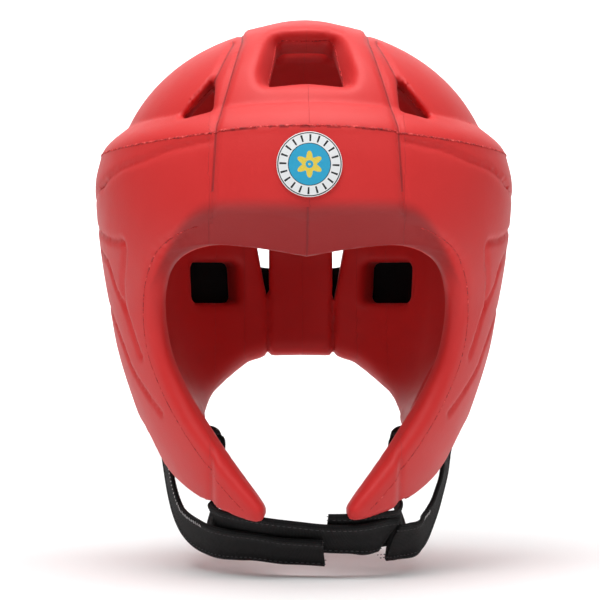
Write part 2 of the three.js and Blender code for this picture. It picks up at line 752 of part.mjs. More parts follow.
// Hollow inside each side wall, where the ear lies.
function earHollow(side) {
  const ball = new THREE.SphereGeometry(earHollowRadius, 18, 10);
  const wall = readColumn(outerSections, 'width', earLevel) * halfWidth - sideFoam;
  const sunk = 0.24 * sideFoam;
  ball.scale((earHollowDepth + sunk) / earHollowRadius, 1, 1);
  ball.translate(side * (wall - sunk), 0.02 * backReach, heightAt(earLevel));
  return solidOf(ball);
}

// A groove of even width along a line on the front or on one side of the shell.
function pressedLine(line, side, view) {
  const span = refine(line, 2).map((row) => [
    view === 'front' ? side * row.across * halfWidth : -row.reach * frontReach,
    heightAt(row.level),
  ]);
  const outline = strip(span, grooveWidth);
  if (view === 'front') return sweepBack(outline, -1.3 * frontReach, 0);
  const at = (x) => outline.map(([y, z]) => new THREE.Vector3(side * x, y, z));
  return loftFlat(at(0.45 * halfWidth), at(1.3 * halfWidth));
}

function pressedLines(side) {
  const lines = [
    pressedLine(visorLine, side, 'front'),
    ...[templeLine, earLine, jawLine, neckLine].map((line) => pressedLine(line, side, 'side')),
  ];
  return lines.reduce((all, line) => all.add(line)).subtract(outerForm(-grooveDepth));
}

// Strip across the back that the elastic band covers, lower at the middle than at its ends.
function bandRegion(width) {
  const end = bandEnd * halfWidth;
  const sag = (x) => heightAt(bandLevel) + bandRise * (x / end) ** 2;
  const steps = Array.from({ length: 17 }, (_, i) => -end + (2 * end * i) / 16);
  const upper = steps.map((x) => [x, sag(x) + width / 2]);
  const lower = steps.map((x) => [x, sag(x) - width / 2]).reverse();
  return sweepBack([...upper, ...lower], 0.25 * backReach, 1.4 * backReach);
}

// A layer that follows the outer form between two distances from it.
const layer = (from, to) => outerForm(to).subtract(outerForm(from));

// Elastic band in its shallow channel over the raised back of the shell.
const bandChannel = () => bandRegion(1.05 * bandWidth).intersect(layer(0, 0.3 * bandWidth));
const rearBand = () => bandRegion(bandWidth).intersect(layer(seatGap, seatGap + bandThickness));

// Round patch bent to the brow.
function patch() {
  const disc = new THREE.CylinderGeometry(badgeRadius, badgeRadius, 4 * badgeRadius, 48);
  disc.translate(badgeShift, -frontReach, heightAt(badgeLevel));
  const under = panelRise + seatGap;
  return solidOf(disc).intersect(layer(under, under + badgeThickness));
}

// Sections of a flat strap, grown all round by the room; its width points back, dipped by the lean.
function strapSections(rows, room) {
  const points = rows.map((row) =>
    new THREE.Vector3(row.across * halfWidth, -row.reach * frontReach, heightAt(row.level)));
  const curve = new THREE.CatmullRomCurve3(points, false, 'centripetal');
  const steps = (rows.length - 1) * 2;
  return Array.from({ length: steps + 1 }, (_, i) => {
    const t = i / steps;
    const centre = curve.getPoint(t);
    const along = curve.getTangent(t);
    const place = Math.min(t * (rows.length - 1), rows.length - 1.001);
    const row = Math.floor(place);
    const lean = radians(THREE.MathUtils.lerp(rows[row].lean, rows[row + 1].lean, place - row));
    const across = new THREE.Vector3(0.3 * centre.x / halfWidth, Math.cos(lean), -Math.sin(lean));
    across.addScaledVector(along, -across.dot(along)).normalize();
    const face = new THREE.Vector3().crossVectors(along, across);
    return [[-1, -1], [1, -1], [1, 1], [-1, 1]].map(([u, v]) =>
      centre.clone().addScaledVector(across, u * (strapWidth / 2 + room))
        .addScaledVector(face, v * (strapThickness / 2 + room)));
  });
}

const ribbon = (rows) => loft(strapSections(rows, 0));

// Space kept clear round a strap, however sharply it bends.
function strapRoom(rows) {
  const loops = strapSections(rows, seatGap);
  const stretch = (loop, i) => [...loops[i], ...loop].map((point) => point.toArray());
  return wasm.Manifold.union(loops.slice(1).map((...at) => wasm.Manifold.hull(stretch(...at))));
}

const both = (make) => make(1).add(make(-1));

const shell = outerForm()
  .add(centrePanel())
  .subtract(headHollow())
  .subtract(both(earHollow))
  .subtract(faceCutter())
  .subtract(belowEdge())
  .subtract(napeCut())
  .subtract(frontVent())
  .subtract(topVent())
  .subtract(both(sideVent))
  .subtract(both(tongueSlit))
  .subtract(both(wingHole))
  .subtract(both(strapSlot))
  .subtract(strapRoom(leftStrap))
  .subtract(strapRoom(rightStrap))
  .subtract(bandChannel())
  .subtract(both(pressedLines));

const headguard = new THREE.Group();
headguard.add(
  meshOf('shell', shell, foamRed),
  meshOf('badge', patch(), patchWhite),
  meshOf('rear_strap', rearBand(), elasticBlack),
  meshOf('chin_strap_left', ribbon(leftStrap), webbingBlack),
  meshOf('chin_strap_right', ribbon(rightStrap), webbingBlack),
);

export default headguard;
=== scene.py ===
"""Looks of an open-face foam head guard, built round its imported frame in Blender."""

import math

import bmesh
import bpy
import numpy as np
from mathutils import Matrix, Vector


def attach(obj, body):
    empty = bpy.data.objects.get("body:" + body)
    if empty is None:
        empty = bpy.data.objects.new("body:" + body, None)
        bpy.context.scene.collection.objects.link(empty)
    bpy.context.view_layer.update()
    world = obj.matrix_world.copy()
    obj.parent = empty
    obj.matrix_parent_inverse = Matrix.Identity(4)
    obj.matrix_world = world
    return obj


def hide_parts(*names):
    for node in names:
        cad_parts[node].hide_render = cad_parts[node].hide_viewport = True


bl_info = {
    "name": "Foam head guard",
    "version": (1, 0, 0),
    "blender": (4, 5, 0),
    "location": "View3D > Sidebar > Head guard",
    "description": "Builds a moulded foam head guard with straps, patch and studio",
    "category": "Object",
}

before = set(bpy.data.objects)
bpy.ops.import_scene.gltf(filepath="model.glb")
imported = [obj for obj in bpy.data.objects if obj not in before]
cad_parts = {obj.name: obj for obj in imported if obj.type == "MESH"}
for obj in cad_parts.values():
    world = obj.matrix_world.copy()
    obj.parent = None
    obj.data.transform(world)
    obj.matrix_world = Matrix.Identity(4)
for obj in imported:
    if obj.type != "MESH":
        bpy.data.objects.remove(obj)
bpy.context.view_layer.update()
MM = 0.001

# Sizes of the form, in mm.
HALF_WIDTH = 110
DOME_HALF_WIDTH = 100.5
FRONT_REACH = 130
DOME_FRONT_REACH = 119
BACK_REACH = 122
SHOULDER_DROP = 84
CHEEK_DROP = 261
SIDE_DROOP = 9
BACK_DROOP = 12
DROOP_SOFTNESS = 0.14
LEDGE_HEIGHT = 12.5
LEDGE_FADE_HEIGHT = 46
DOME_END_HEIGHT = -31.8
CROWN_FOAM = 16.5
SIDE_FOAM = 25
BROW_FOAM = 28
NAPE_FOAM = 21
RIM_BEVEL = 9
BROW_BEVEL = 20
RIM_DEPTH = 17
PANEL_RISE = 1.6
SHOULDER = CROWN_FOAM - SHOULDER_DROP

STRAP_WIDTH = 25
STRAP_THICKNESS = 2.4
BAND_WIDTH = 40
BAND_THICKNESS = 2.6
BADGE_RADIUS = 16
BADGE_THICKNESS = 1.1
BADGE_SHIFT = 0.8
SEAT_GAP = 0.4

# Levels are shares of the drop from the top of the crown to the cheeks' lower edge.
RIDGE_LEVEL = 0.236
FRONT_VENT_LEVEL = 0.158
SIDE_VENT_LEVEL = 0.215
BADGE_LEVEL = 0.309
UNDER_BROW_LEVEL = 0.385
WING_HOLE_LEVEL = 0.517
EAR_LEVEL = 0.53
BAND_LEVEL = 0.572
TONGUE_END_LEVEL = 0.8
SLOT_LEVEL = 0.8335

DOME_POWER = 2.2
BAND_HALF_SHARE = 0.8
BACK_START = 36
SLOT_REACH = 0.09
SLOT_SLOPE = math.radians(18)
WING_HOLE_TURN = math.radians(25)

# level, width, front, back, corner
OUTER_ROWS = [
    (RIDGE_LEVEL, 0.972, 0.985, 0.972, 2.15),
    (0.29, 1, 1, 0.994, 2.2),
    (0.36, 0.993, 1.006, 1, 2.25),
    (0.42, 0.978, 0.995, 1, 2.25),
    (0.475, 0.96, 0.95, 0.99, 2.25),
    (0.535, 0.935, 0.87, 0.97, 2.25),
    (0.63, 0.893, 0.81, 0.93, 2.25),
    (0.735, 0.815, 0.795, 0.88, 2.25),
    (0.80, 0.752, 0.79, 0.84, 2.25),
    (0.86, 0.675, 0.785, 0.80, 2.2),
    (0.92, 0.585, 0.775, 0.75, 2.2),
    (0.97, 0.50, 0.755, 0.70, 2.2),
    (1.03, 0.40, 0.72, 0.62, 2.2),
]

# level, side, brow, nape, corner
HOLLOW_ROWS = [
    (0.36, 1.18, 1.07, 1.02, 2.45),
    (0.475, 1.06, 0.82, 1.0, 2.6),
    (0.57, 0.94, 0.44, 1.0, 2.6),
    (0.66, 0.98, 0.36, 1.0, 2.5),
    (0.74, 1.12, 0.38, 1.05, 2.4),
    (0.80, 1.12, 0.42, 1.1, 2.3),
    (0.87, 0.76, 0.46, 1.1, 2.2),
    (0.94, 0.64, 0.48, 1.1, 2.2),
    (1.05, 0.56, 0.50, 1.1, 2.2),
]

# across, level, reach, rim, bevel
FACE_ROWS = [
    (0, 0.479, 0.82, 0, 1.05),
    (0.19, 0.465, 0.82, 0, 1.0),
    (0.36, 0.457, 0.80, 0, 1.08),
    (0.45, 0.46, 0.78, 0.12, 1.12),
    (0.54, 0.474, 0.74, 0.45, 0.95),
    (0.59, 0.496, 0.70, 0.8, 0.7),
    (0.62, 0.534, 0.65, 0.92, 0.5),
    (0.629, 0.57, 0.61, 0.95, 0.4),
    (0.627, 0.613, 0.60, 0.95, 0.4),
    (0.609, 0.663, 0.60, 0.92, 0.4),
    (0.562, 0.716, 0.61, 0.9, 0.4),
    (0.50, 0.766, 0.63, 0.9, 0.4),
    (0.418, 0.82, 0.66, 0.9, 0.4),
    (0.344, 0.862, 0.69, 0.88, 0.4),
    (0.255, 0.912, 0.72, 0.75, 0.4),
    (0.195, 0.946, 0.73, 0.6, 0.4),
    (0.173, 0.972, 0.73, 0.5, 0.4),
    (0.185, 1.06, 0.73, 0.5, 0.4),
]

# reach, level
LOWER_EDGE = [
    (1.2, 0.996), (0.72, 0.992), (0.61, 0.981), (0.49, 0.962), (0.35, 0.94),
    (0.2, 0.911), (0.04, 0.877), (-0.11, 0.842), (-0.31, 0.8), (-0.43, 0.775),
    (-0.55, 0.757), (-0.68, 0.748), (-1.2, 0.735),
]

# across, level
NAPE_ARCH = [
    (0, 0.683), (0.19, 0.685), (0.27, 0.695), (0.333, 0.716), (0.375, 0.735),
    (0.41, 0.762), (0.435, 0.8), (0.44, 0.9),
]
VISOR_LINE = [
    (0.44, 0.262), (0.51, 0.268), (0.62, 0.277), (0.727, 0.293), (0.836, 0.306),
    (0.905, 0.322), (0.945, 0.337),
]
VENT_RIDGE_LINE = [(0.336, 0.06), (0.378, 0.1), (0.42, 0.142), (0.436, 0.176)]

# reach, level
SIDE_LINES = {
    "temple": [(0.40, 0.331), (0.15, 0.355), (-0.15, 0.395), (-0.36, 0.45)],
    "ear": [(-0.1, 0.40), (0.15, 0.42), (0.44, 0.442), (0.57, 0.45), (0.54, 0.487),
            (0.47, 0.53), (0.42, 0.573)],
    "jaw": [(0.12, 0.46), (0.34, 0.486), (0.38, 0.536), (0.425, 0.58), (0.44, 0.62),
            (0.455, 0.67)],
    "neck": [(0, 0.56), (0.17, 0.586), (0.25, 0.612), (0.31, 0.654), (0.33, 0.689),
             (0.365, 0.714), (0.48, 0.781)],
}

# across, reach, level, lean
LEFT_STRAP = [
    (0.385, 0.465, 1.011, 17), (0.28, 0.545, 1.024, 23), (0.19, 0.573, 1.028, 23),
    (0.09, 0.585, 1.028, 23), (-0.045, 0.585, 1.022, 23), (-0.19, 0.569, 1.013, 22),
    (-0.29, 0.525, 1.004, 20),
    (-0.37, 0.465, 0.993, 16), (-0.415, 0.385, 0.981, 6), (-0.425, 0.30, 0.959, -6),
    (-0.41, 0.215, 0.925, -14), (-0.408, 0.145, 0.885, -18), (-0.408, 0.10, 0.850, -18),
    (-0.434, 0.092, 0.836, -18), (-0.50, 0.09, 0.8335, -18), (-0.56, 0.09, 0.8335, -18),
    (-0.62, 0.09, 0.8335, -18), (-0.65, 0.092, 0.84, -18), (-0.661, 0.098, 0.862, -16),
    (-0.647, 0.118, 0.897, -10), (-0.613, 0.158, 0.936, 0), (-0.556, 0.222, 0.973, 8),
    (-0.492, 0.30, 0.998, 13), (-0.42, 0.372, 1.016, 17), (-0.335, 0.432, 1.027, 19),
    (-0.235, 0.478, 1.035, 20), (-0.11, 0.513, 1.046, 20), (0, 0.53, 1.05, 20),
    (0.082, 0.538, 1.053, 20),
]
RIGHT_STRAP = [
    (0.096, 0.60, 1.009, 23), (0.2, 0.592, 1.008, 23), (0.31, 0.54, 1.003, 21),
    (0.385, 0.465, 0.996, 16), (0.43, 0.385, 0.979, 6), (0.44, 0.30, 0.957, -6),
    (0.425, 0.215, 0.925, -14), (0.425, 0.145, 0.885, -18), (0.43, 0.102, 0.852, -18),
    (0.455, 0.093, 0.8365, -18), (0.51, 0.09, 0.8335, -18), (0.56, 0.09, 0.8335, -18),
    (0.62, 0.09, 0.8335, -18), (0.662, 0.092, 0.84, -18), (0.68, 0.098, 0.862, -16),
    (0.673, 0.115, 0.895, -10), (0.642, 0.145, 0.925, -3), (0.60, 0.19, 0.957, 4),
    (0.565, 0.245, 0.983, 10), (0.52, 0.318, 1.005, 16), (0.446, 0.395, 1.019, 20),
    (0.384, 0.455, 1.026, 22),
]


def height_at(level):
    return CROWN_FOAM - level * CHEEK_DROP


def front_points(rows):
    """Across and height, in mm, of a line seen from the front."""
    return [(across * HALF_WIDTH, height_at(level)) for across, level in rows]


# Reading tables.


def smooth_rows(keys, values, count=400):
    """A dense table through the rows, smooth between them."""
    keys = np.asarray(keys, float)
    values = np.asarray(values, float)
    last = len(keys) - 1
    before = np.maximum(np.arange(last + 1) - 1, 0)
    after = np.minimum(np.arange(last + 1) + 1, last)
    slopes = (values[after] - values[before]) / (keys[after] - keys[before])
    at = np.linspace(keys[0], keys[-1], count)
    rising = keys if keys[-1] > keys[0] else -keys
    place = np.clip(np.searchsorted(rising, at if keys[-1] > keys[0] else -at) - 1, 0, last - 1)
    span = keys[place + 1] - keys[place]
    t = (at - keys[place]) / span
    read = (
        (2 * t**3 - 3 * t**2 + 1) * values[place]
        + (t**3 - 2 * t**2 + t) * slopes[place] * span
        + (3 * t**2 - 2 * t**3) * values[place + 1]
        + (t**3 - t**2) * slopes[place + 1] * span
    )
    return at, read


class Column:
    """One column of a table as a smooth function of its key."""

    def __init__(self, keys, values):
        at, read = smooth_rows(keys, values)
        order = np.argsort(at)
        self.at, self.read = at[order], read[order]

    def __call__(self, at):
        return np.interp(at, self.at, self.read)


def columns_of(rows):
    table = list(zip(*rows))
    return [Column(table[0], column) for column in table[1:]]


outer_width, outer_front, outer_back, outer_corner = columns_of([
    (height_at(level), width * HALF_WIDTH, front * FRONT_REACH, back * BACK_REACH, corner)
    for level, width, front, back, corner in OUTER_ROWS
])
hollow_width, hollow_front, hollow_back, hollow_corner = columns_of([
    (
        height_at(level),
        float(outer_width(height_at(level))) - side * SIDE_FOAM,
        float(outer_front(height_at(level))) - brow * BROW_FOAM,
        float(outer_back(height_at(level))) - nape * NAPE_FOAM,
        corner,
    )
    for level, side, brow, nape, corner in HOLLOW_ROWS
])
lower_edge = Column([-reach * FRONT_REACH for reach, _ in LOWER_EDGE],
                    [height_at(level) for _, level in LOWER_EDGE])


def refine_line(points, per_row=6):
    """A plane line with more points, smooth through the given ones."""
    points = np.asarray(points, float)
    place = np.arange(len(points))
    count = (len(points) - 1) * per_row + 1
    return np.stack([smooth_rows(place, points[:, i], count)[1] for i in range(points.shape[1])], 1)


# Distances.


def smooth_max(a, b, k):
    h = np.maximum(k - np.abs(a - b), 0) / k
    return np.maximum(a, b) + h * h * k * 0.25


def smooth_step(value, low, high):
    t = np.clip((value - low) / (high - low), 0, 1)
    return t * t * (3 - 2 * t)


def line_distance(px, pz, points):
    """Distance to an open line in a plane."""
    best = None
    for (ax, az), (bx, bz) in zip(points[:-1], points[1:]):
        ex, ez = bx - ax, bz - az
        wx, wz = px - ax, pz - az
        t = np.clip((wx * ex + wz * ez) / (ex * ex + ez * ez), 0, 1)
        d = (wx - ex * t) ** 2 + (wz - ez * t) ** 2
        best = d if best is None else np.minimum(best, d)
    return np.sqrt(best)


def outline_distance(px, pz, points, values=None):
    """Signed distance to a closed outline, negative inside, and values of its nearest point."""
    best = None
    inside = None
    nearest = None
    count = len(points)
    for i in range(count):
        (ax, az), (bx, bz) = points[i], points[(i + 1) % count]
        ex, ez = bx - ax, bz - az
        wx, wz = px - ax, pz - az
        t = np.clip((wx * ex + wz * ez) / (ex * ex + ez * ez + 1e-12), 0, 1)
        d = (wx - ex * t) ** 2 + (wz - ez * t) ** 2
        crosses = ((az > pz) != (bz > pz)) & (px < ex * (pz - az) / (ez if ez else 1e-9) + ax)
        inside = crosses if inside is None else inside ^ crosses
        if values is not None:
            mixed = [a + (b - a) * t for a, b in zip(values[i], values[(i + 1) % count])]
        if best is None:
            best = d
            nearest = mixed if values is not None else None
        else:
            closer = d < best
            best = np.where(closer, d, best)
            if values is not None:
                nearest = [np.where(closer, new, old) for new, old in zip(mixed, nearest)]
    signed = np.where(inside, -1, 1) * np.sqrt(best)
    return (signed, nearest) if values is not None else signed


def rounded_box(u, v, half_u, half_v, radius):
    qu = np.abs(u) - half_u + radius
    qv = np.abs(v) - half_v + radius
    return (
        np.sqrt(np.maximum(qu, 0) ** 2 + np.maximum(qv, 0) ** 2)
        + np.minimum(np.maximum(qu, qv), 0)
        - radius
    )


def plan_value(x, y, width, front, back, corner):
    reach = np.where(y < 0, front, back)
    return ((np.abs(x) / width) ** corner + (np.abs(y) / reach) ** corner) ** (1 / corner)


def turn_at(x, y):
    """Sine and cosine of the place round the guard, counted from the face."""
    reach = np.where(y < 0, FRONT_REACH, BACK_REACH)
    s = (np.abs(x) / HALF_WIDTH) ** 1.1
    c = (np.abs(y) / reach) ** 1.1 * np.sign(-y)
    size = np.sqrt(s * s + c * c) + 1e-9
    return s / size, c / size


def droop_at(s, c):
    soft_one = math.hypot(1, DROOP_SOFTNESS) - DROOP_SOFTNESS
    side = (np.sqrt(s * s + DROOP_SOFTNESS**2) - DROOP_SOFTNESS) / soft_one
    behind = np.maximum(0, -c)
    return SIDE_DROOP * smooth_max(side, behind, 0.3) + (BACK_DROOP - SIDE_DROOP) * behind


def outer_value(x, y, z):
    """Below zero inside the outer form, above zero outside it."""
    s, c = turn_at(x, y)
    droop = droop_at(s, c)
    height = z + droop
    for _ in range(2):
        rise = np.clip((height - SHOULDER) / SHOULDER_DROP, 0, 1)
        height = z + droop * (1 - rise**DOME_POWER) ** (1 / DOME_POWER)
    rise = (height - SHOULDER) / SHOULDER_DROP
    ridge = height_at(RIDGE_LEVEL)
    behind = np.clip((-c - 0.05) / 0.75, 0, 1)
    top = ridge + LEDGE_HEIGHT + LEDGE_FADE_HEIGHT * behind * behind * (3 - 2 * behind)
    slope = (top - height) / (top - ridge)
    flare = np.clip(smooth_max(slope, 0, 0.35) - 0.02, 0, 1)
    widen = 1 + (HALF_WIDTH / DOME_HALF_WIDTH - 1) * flare
    lengthen = 1 + (FRONT_REACH / DOME_FRONT_REACH - 1) * flare
    above = plan_value(
        x, y, DOME_HALF_WIDTH * widen, DOME_FRONT_REACH * lengthen, BACK_REACH, 2.1
    )
    dome = (above**DOME_POWER + np.clip(rise, 0, 2) ** DOME_POWER) ** (1 / DOME_POWER) - 1
    end_rise = np.clip((DOME_END_HEIGHT - SHOULDER) / SHOULDER_DROP, 0, 1)
    end = (1 - end_rise**DOME_POWER) ** (1 / DOME_POWER)
    blend = np.clip((DOME_END_HEIGHT - height) / (DOME_END_HEIGHT - ridge), 0, 1)
    low = np.minimum(height, ridge)
    width = DOME_HALF_WIDTH * end * widen * (1 - blend) + outer_width(low) * blend
    front = DOME_FRONT_REACH * end * lengthen * (1 - blend) + outer_front(low) * blend
    back = BACK_REACH * end * (1 - blend) + outer_back(low) * blend
    wall = plan_value(x, y, width, front, back, outer_corner(low)) - 1
    return np.where(height > DOME_END_HEIGHT, dome, wall)


def hollow_value(x, y, z):
    base = height_at(HOLLOW_ROWS[0][0])
    low = np.minimum(z, base)
    rise = np.clip((z - base) / -base, 0, 2)
    crown_corner = 2.1 + 0.35 * np.sqrt(np.clip(1 - rise**2, 0, 1))
    corner = np.where(z > base, crown_corner, hollow_corner(low))
    plan = plan_value(x, y, hollow_width(low), hollow_front(low), hollow_back(low), corner)
    return np.sqrt(plan**2 + rise**2) - 1


def as_distance(value, x, y, z, step=0.6):
    """A value turned into millimetres by the steepness round each point."""
    here = value(x, y, z)
    gx = (value(x + step, y, z) - here) / step
    gy = (value(x, y + step, z) - here) / step
    gz = (value(x, y, z + step) - here) / step
    return here / np.sqrt(gx * gx + gy * gy + gz * gz + 1e-8)


def outer_distance(x, y, z):
    return as_distance(outer_value, x, y, z)


# Outlines of cuts.

FACE_DENSE = refine_line([(a * HALF_WIDTH, height_at(l), r * FRONT_REACH, m, b)
                          for a, l, r, m, b in FACE_ROWS], 3)
FACE_DENSE[0, 0] = 0
FACE_LOOP = np.concatenate([FACE_DENSE, FACE_DENSE[:0:-1] * [-1, 1, 1, 1, 1]])


def face_cut(x, y, z):
    """The face opening with its rolled rim and the bevel under the brow, and its softness."""
    distance, (reach, rim, bevel) = outline_distance(
        x, z, FACE_LOOP[:, :2].tolist(), FACE_LOOP[:, 2:].tolist()
    )
    front_plane = FRONT_REACH + 2
    ahead = -y - reach
    rim_share = np.interp(ahead, [-RIM_DEPTH, -0.45 * RIM_DEPTH, 0], [0, 0.35, 1])
    bevel_share = np.clip(ahead / (front_plane - reach), 0, 1.1)
    cut = distance - rim * RIM_BEVEL * rim_share - bevel * BROW_BEVEL * bevel_share
    keel = np.clip(bevel - 0.8, 0, 0.25) * 4 * np.exp(-np.abs(x) / 7)
    soft = np.interp(bevel, [0.6, 0.95], [11, 4])
    soft = soft - 6 * smooth_step(-z, -height_at(0.68), -height_at(0.95)) * (bevel < 0.6)
    return np.maximum(cut + 2.2 * keel * bevel_share, y + 0.2 * FRONT_REACH), soft


def round_corners(points, radius, steps=4):
    out = []
    count = len(points)
    for i in range(count):
        here = np.array(points[i], float)
        before = np.array(points[i - 1], float) - here
        after = np.array(points[(i + 1) % count], float) - here
        start = here + before / np.linalg.norm(before) * radius
        end = here + after / np.linalg.norm(after) * radius
        for step in range(steps + 1):
            t = step / steps
            out.append(tuple((1 - t) ** 2 * start + 2 * t * (1 - t) * here + t * t * end))
    return out


def leaning_vent(x, y, z, rows, radius, mouth, foam, lean):
    """A funnel whose mouths lean back with the dome; open wide outside, narrow inside."""
    narrow = [(x0, z0) for x0, z0, _, _ in rows]
    wide = [(x0 + fx, z0 + fz) for x0, z0, fx, fz in rows]
    depth = y - mouth - lean * z
    deeper = (depth + 0.08 * lean * foam) / (1 + 0.08 * lean)
    past = depth > foam
    depth = np.where(past, deeper, depth)
    lifted = np.where(past, z + 0.08 * (deeper - foam), z)
    flare = np.clip(1 - depth / foam, 0, 1.5)
    inner = outline_distance(x, lifted, round_corners(narrow, radius))
    outer = outline_distance(x, lifted, round_corners(wide, radius))
    cut = inner * (1 - flare) + outer * flare
    return np.maximum(cut, depth - foam - 30)


def slot_axes(y, z):
    """Places along and across a chin strap's slot."""
    dy = y + SLOT_REACH * FRONT_REACH
    dz = z - height_at(SLOT_LEVEL)
    along = dy * math.cos(SLOT_SLOPE) + dz * math.sin(SLOT_SLOPE)
    return along, -dy * math.sin(SLOT_SLOPE) + dz * math.cos(SLOT_SLOPE)


FRONT_VENT_SILL = height_at(FRONT_VENT_LEVEL)
SIDE_VENT_SILL = height_at(SIDE_VENT_LEVEL)
SLIT_INNER = 18
SLIT_TOP = CROWN_FOAM - 78

# across, height, and the wide mouth's offset in both
FRONT_VENT = [
    (-19.5, FRONT_VENT_SILL, -4.2, 0), (0, FRONT_VENT_SILL + 2.5, 0, 0),
    (19.5, FRONT_VENT_SILL, 4.2, 0), (13.65, FRONT_VENT_SILL + 25, 4.9, 7),
    (-13.65, FRONT_VENT_SILL + 25, -4.9, 7),
]
SIDE_VENT = [
    (46, SIDE_VENT_SILL + 18, 0, 4), (47.5, SIDE_VENT_SILL + 4, -0.8, 0),
    (62, SIDE_VENT_SILL, 4, 0),
]

# mouth's y, foam's thickness, lean
FRONT_VENT_TUNNEL = (-0.64 * DOME_FRONT_REACH, 1.25 * CROWN_FOAM, 1.05)
SIDE_VENT_TUNNEL = (-0.58 * DOME_FRONT_REACH, 1.3 * CROWN_FOAM, 0.75)

# across, height
RECESS = round_corners([
    (-23, FRONT_VENT_SILL + 3.5), (23, FRONT_VENT_SILL + 3.5),
    (16, FRONT_VENT_SILL + 28), (-16, FRONT_VENT_SILL + 28),
], 6)
SLIT = [
    (SLIT_INNER, height_at(TONGUE_END_LEVEL)), (SLIT_INNER, SLIT_TOP - 3),
    (SLIT_INNER + 3, SLIT_TOP), (SLIT_INNER + 5, SLIT_TOP), (SLIT_INNER + 8, SLIT_TOP - 3),
    (SLIT_INNER + 8, height_at(0.42)), (SLIT_INNER + 1, height_at(0.565)),
    (SLIT_INNER + 1, height_at(TONGUE_END_LEVEL)),
]
ARCH = front_points(NAPE_ARCH)
ARCH_OUTLINE = [(-x, z) for x, z in ARCH[:0:-1]] + ARCH

# across, depth
TOP_VENT = round_corners([(-9.1, -26), (9.1, -26), (13, 19), (-13, 19)], 6)


def panel_edge(y, z):
    """Half width of the raised centre panel."""
    crease = CROWN_FOAM - 0.18 * SHOULDER_DROP
    front = np.interp(z, [height_at(0.42), height_at(RIDGE_LEVEL), crease], [46, 43.2, 31])
    back = np.interp(z, [height_at(0.3), crease], [30, 31])
    return np.where(y < 0, front, back)


def relief(x, y, z):
    """How far the outer skin stands out or in: panel, creases and pressed lines."""
    side = np.abs(x)
    beyond = side - panel_edge(y, z)
    height = PANEL_RISE * (1 - smooth_step(beyond, -1.0, 1.6))
    height = height - 0.7 * np.exp(-((beyond - 1.6) / 1.5) ** 2)
    front = (y < -5) * 1.0
    visor, ridge = [
        line_distance(side, z, refine_line(front_points(line)).tolist())
        for line in (VISOR_LINE, VENT_RIDGE_LINE)
    ]
    pressed = 1.5 * np.exp(-(visor / 1.5) ** 2) + 1.2 * np.exp(-(ridge / 1.9) ** 2)
    height = height - front * pressed
    outside = smooth_step(side, 50, 60)
    for line in SIDE_LINES.values():
        path = refine_line([(-r * FRONT_REACH, height_at(l)) for r, l in line]).tolist()
        pressed = line_distance(y, z, path)
        height = height - outside * 1.5 * np.exp(-(pressed / 1.6) ** 2)
    band = band_level(x) - z
    under_band = (y > 0) * (1 - smooth_step(np.abs(band) - BAND_WIDTH / 2, 0.5, 3))
    return height * (1 - under_band)


def band_level(x):
    """Height of the rear band's middle, which rises to both sides."""
    return height_at(BAND_LEVEL) + 26 * (x / (BAND_HALF_SHARE * HALF_WIDTH)) ** 2


def room_for_straps(x, y, z, straps, reach=7):
    """Distance to the straps grown by their clearance, in the part of the shell near them."""
    px, py, pz = np.broadcast_arrays(x, y, z)
    out = np.full(px.shape, float(reach))
    for centre, across, face in straps:
        low, high = centre.min(0) - 20, centre.max(0) + 20
        near = (
            (px > low[0]) & (px < high[0]) & (py > low[1]) & (py < high[1])
            & (pz > low[2]) & (pz < high[2])
        )
        points = np.stack([px[near], py[near], pz[near]], 1)
        found = np.full(len(points), float(reach))
        for start in range(0, len(points), 20000):
            part = points[start:start + 20000]
            gap = ((part[:, None, :] - centre[None]) ** 2).sum(2)
            # The nearest section decides, measured in that section's own plane.
            place = gap.argmin(1)
            offset = part - centre[place]
            u = (offset * across[place]).sum(1)
            v = (offset * face[place]).sum(1)
            w = np.sqrt(np.maximum((offset**2).sum(1) - u * u - v * v, 0))
            box = rounded_box(u, v, STRAP_WIDTH / 2 + 0.8, STRAP_THICKNESS / 2 + 0.8, 0.8)
            found[start:start + 20000] = np.maximum(box, w - 3)
        kept = out[near]
        out[near] = np.minimum(kept, found)
    return out


def ear_hollow(side, y, z):
    """Room for the ear in the side wall."""
    wall = float(outer_width(height_at(EAR_LEVEL))) - SIDE_FOAM
    return np.sqrt(
        ((side - wall + 6) / 11.5) ** 2 + ((y - 2.4) / 34) ** 2
        + ((z - height_at(EAR_LEVEL)) / 34) ** 2
    ) - 1


def wing_hole(side, y, z):
    """The window in a side wing, cut square to the wing."""
    du, dv = side - 0.47 * HALF_WIDTH, y - 0.77 * BACK_REACH
    along = du * math.cos(WING_HOLE_TURN) - dv * math.sin(WING_HOLE_TURN)
    deep = du * math.sin(WING_HOLE_TURN) + dv * math.cos(WING_HOLE_TURN)
    window = rounded_box(along, z - height_at(WING_HOLE_LEVEL) + 1.8, 15.5, 11.5, 4)
    return np.maximum(window, np.abs(deep) - 35)


def slot_and_seat(side, y, z):
    """The chin strap's slot, and the shallow seat that the webbing folds back into."""
    a, b = slot_axes(y, z)
    slot = np.maximum(rounded_box(a, b, 14.5, 3, 2.4), 0.3 * HALF_WIDTH - side)
    seat = rounded_box(a, b + 6.5, 16, 13.5, 5)
    return slot, np.maximum(seat, 0.648 * HALF_WIDTH + 0.27 * b - side)


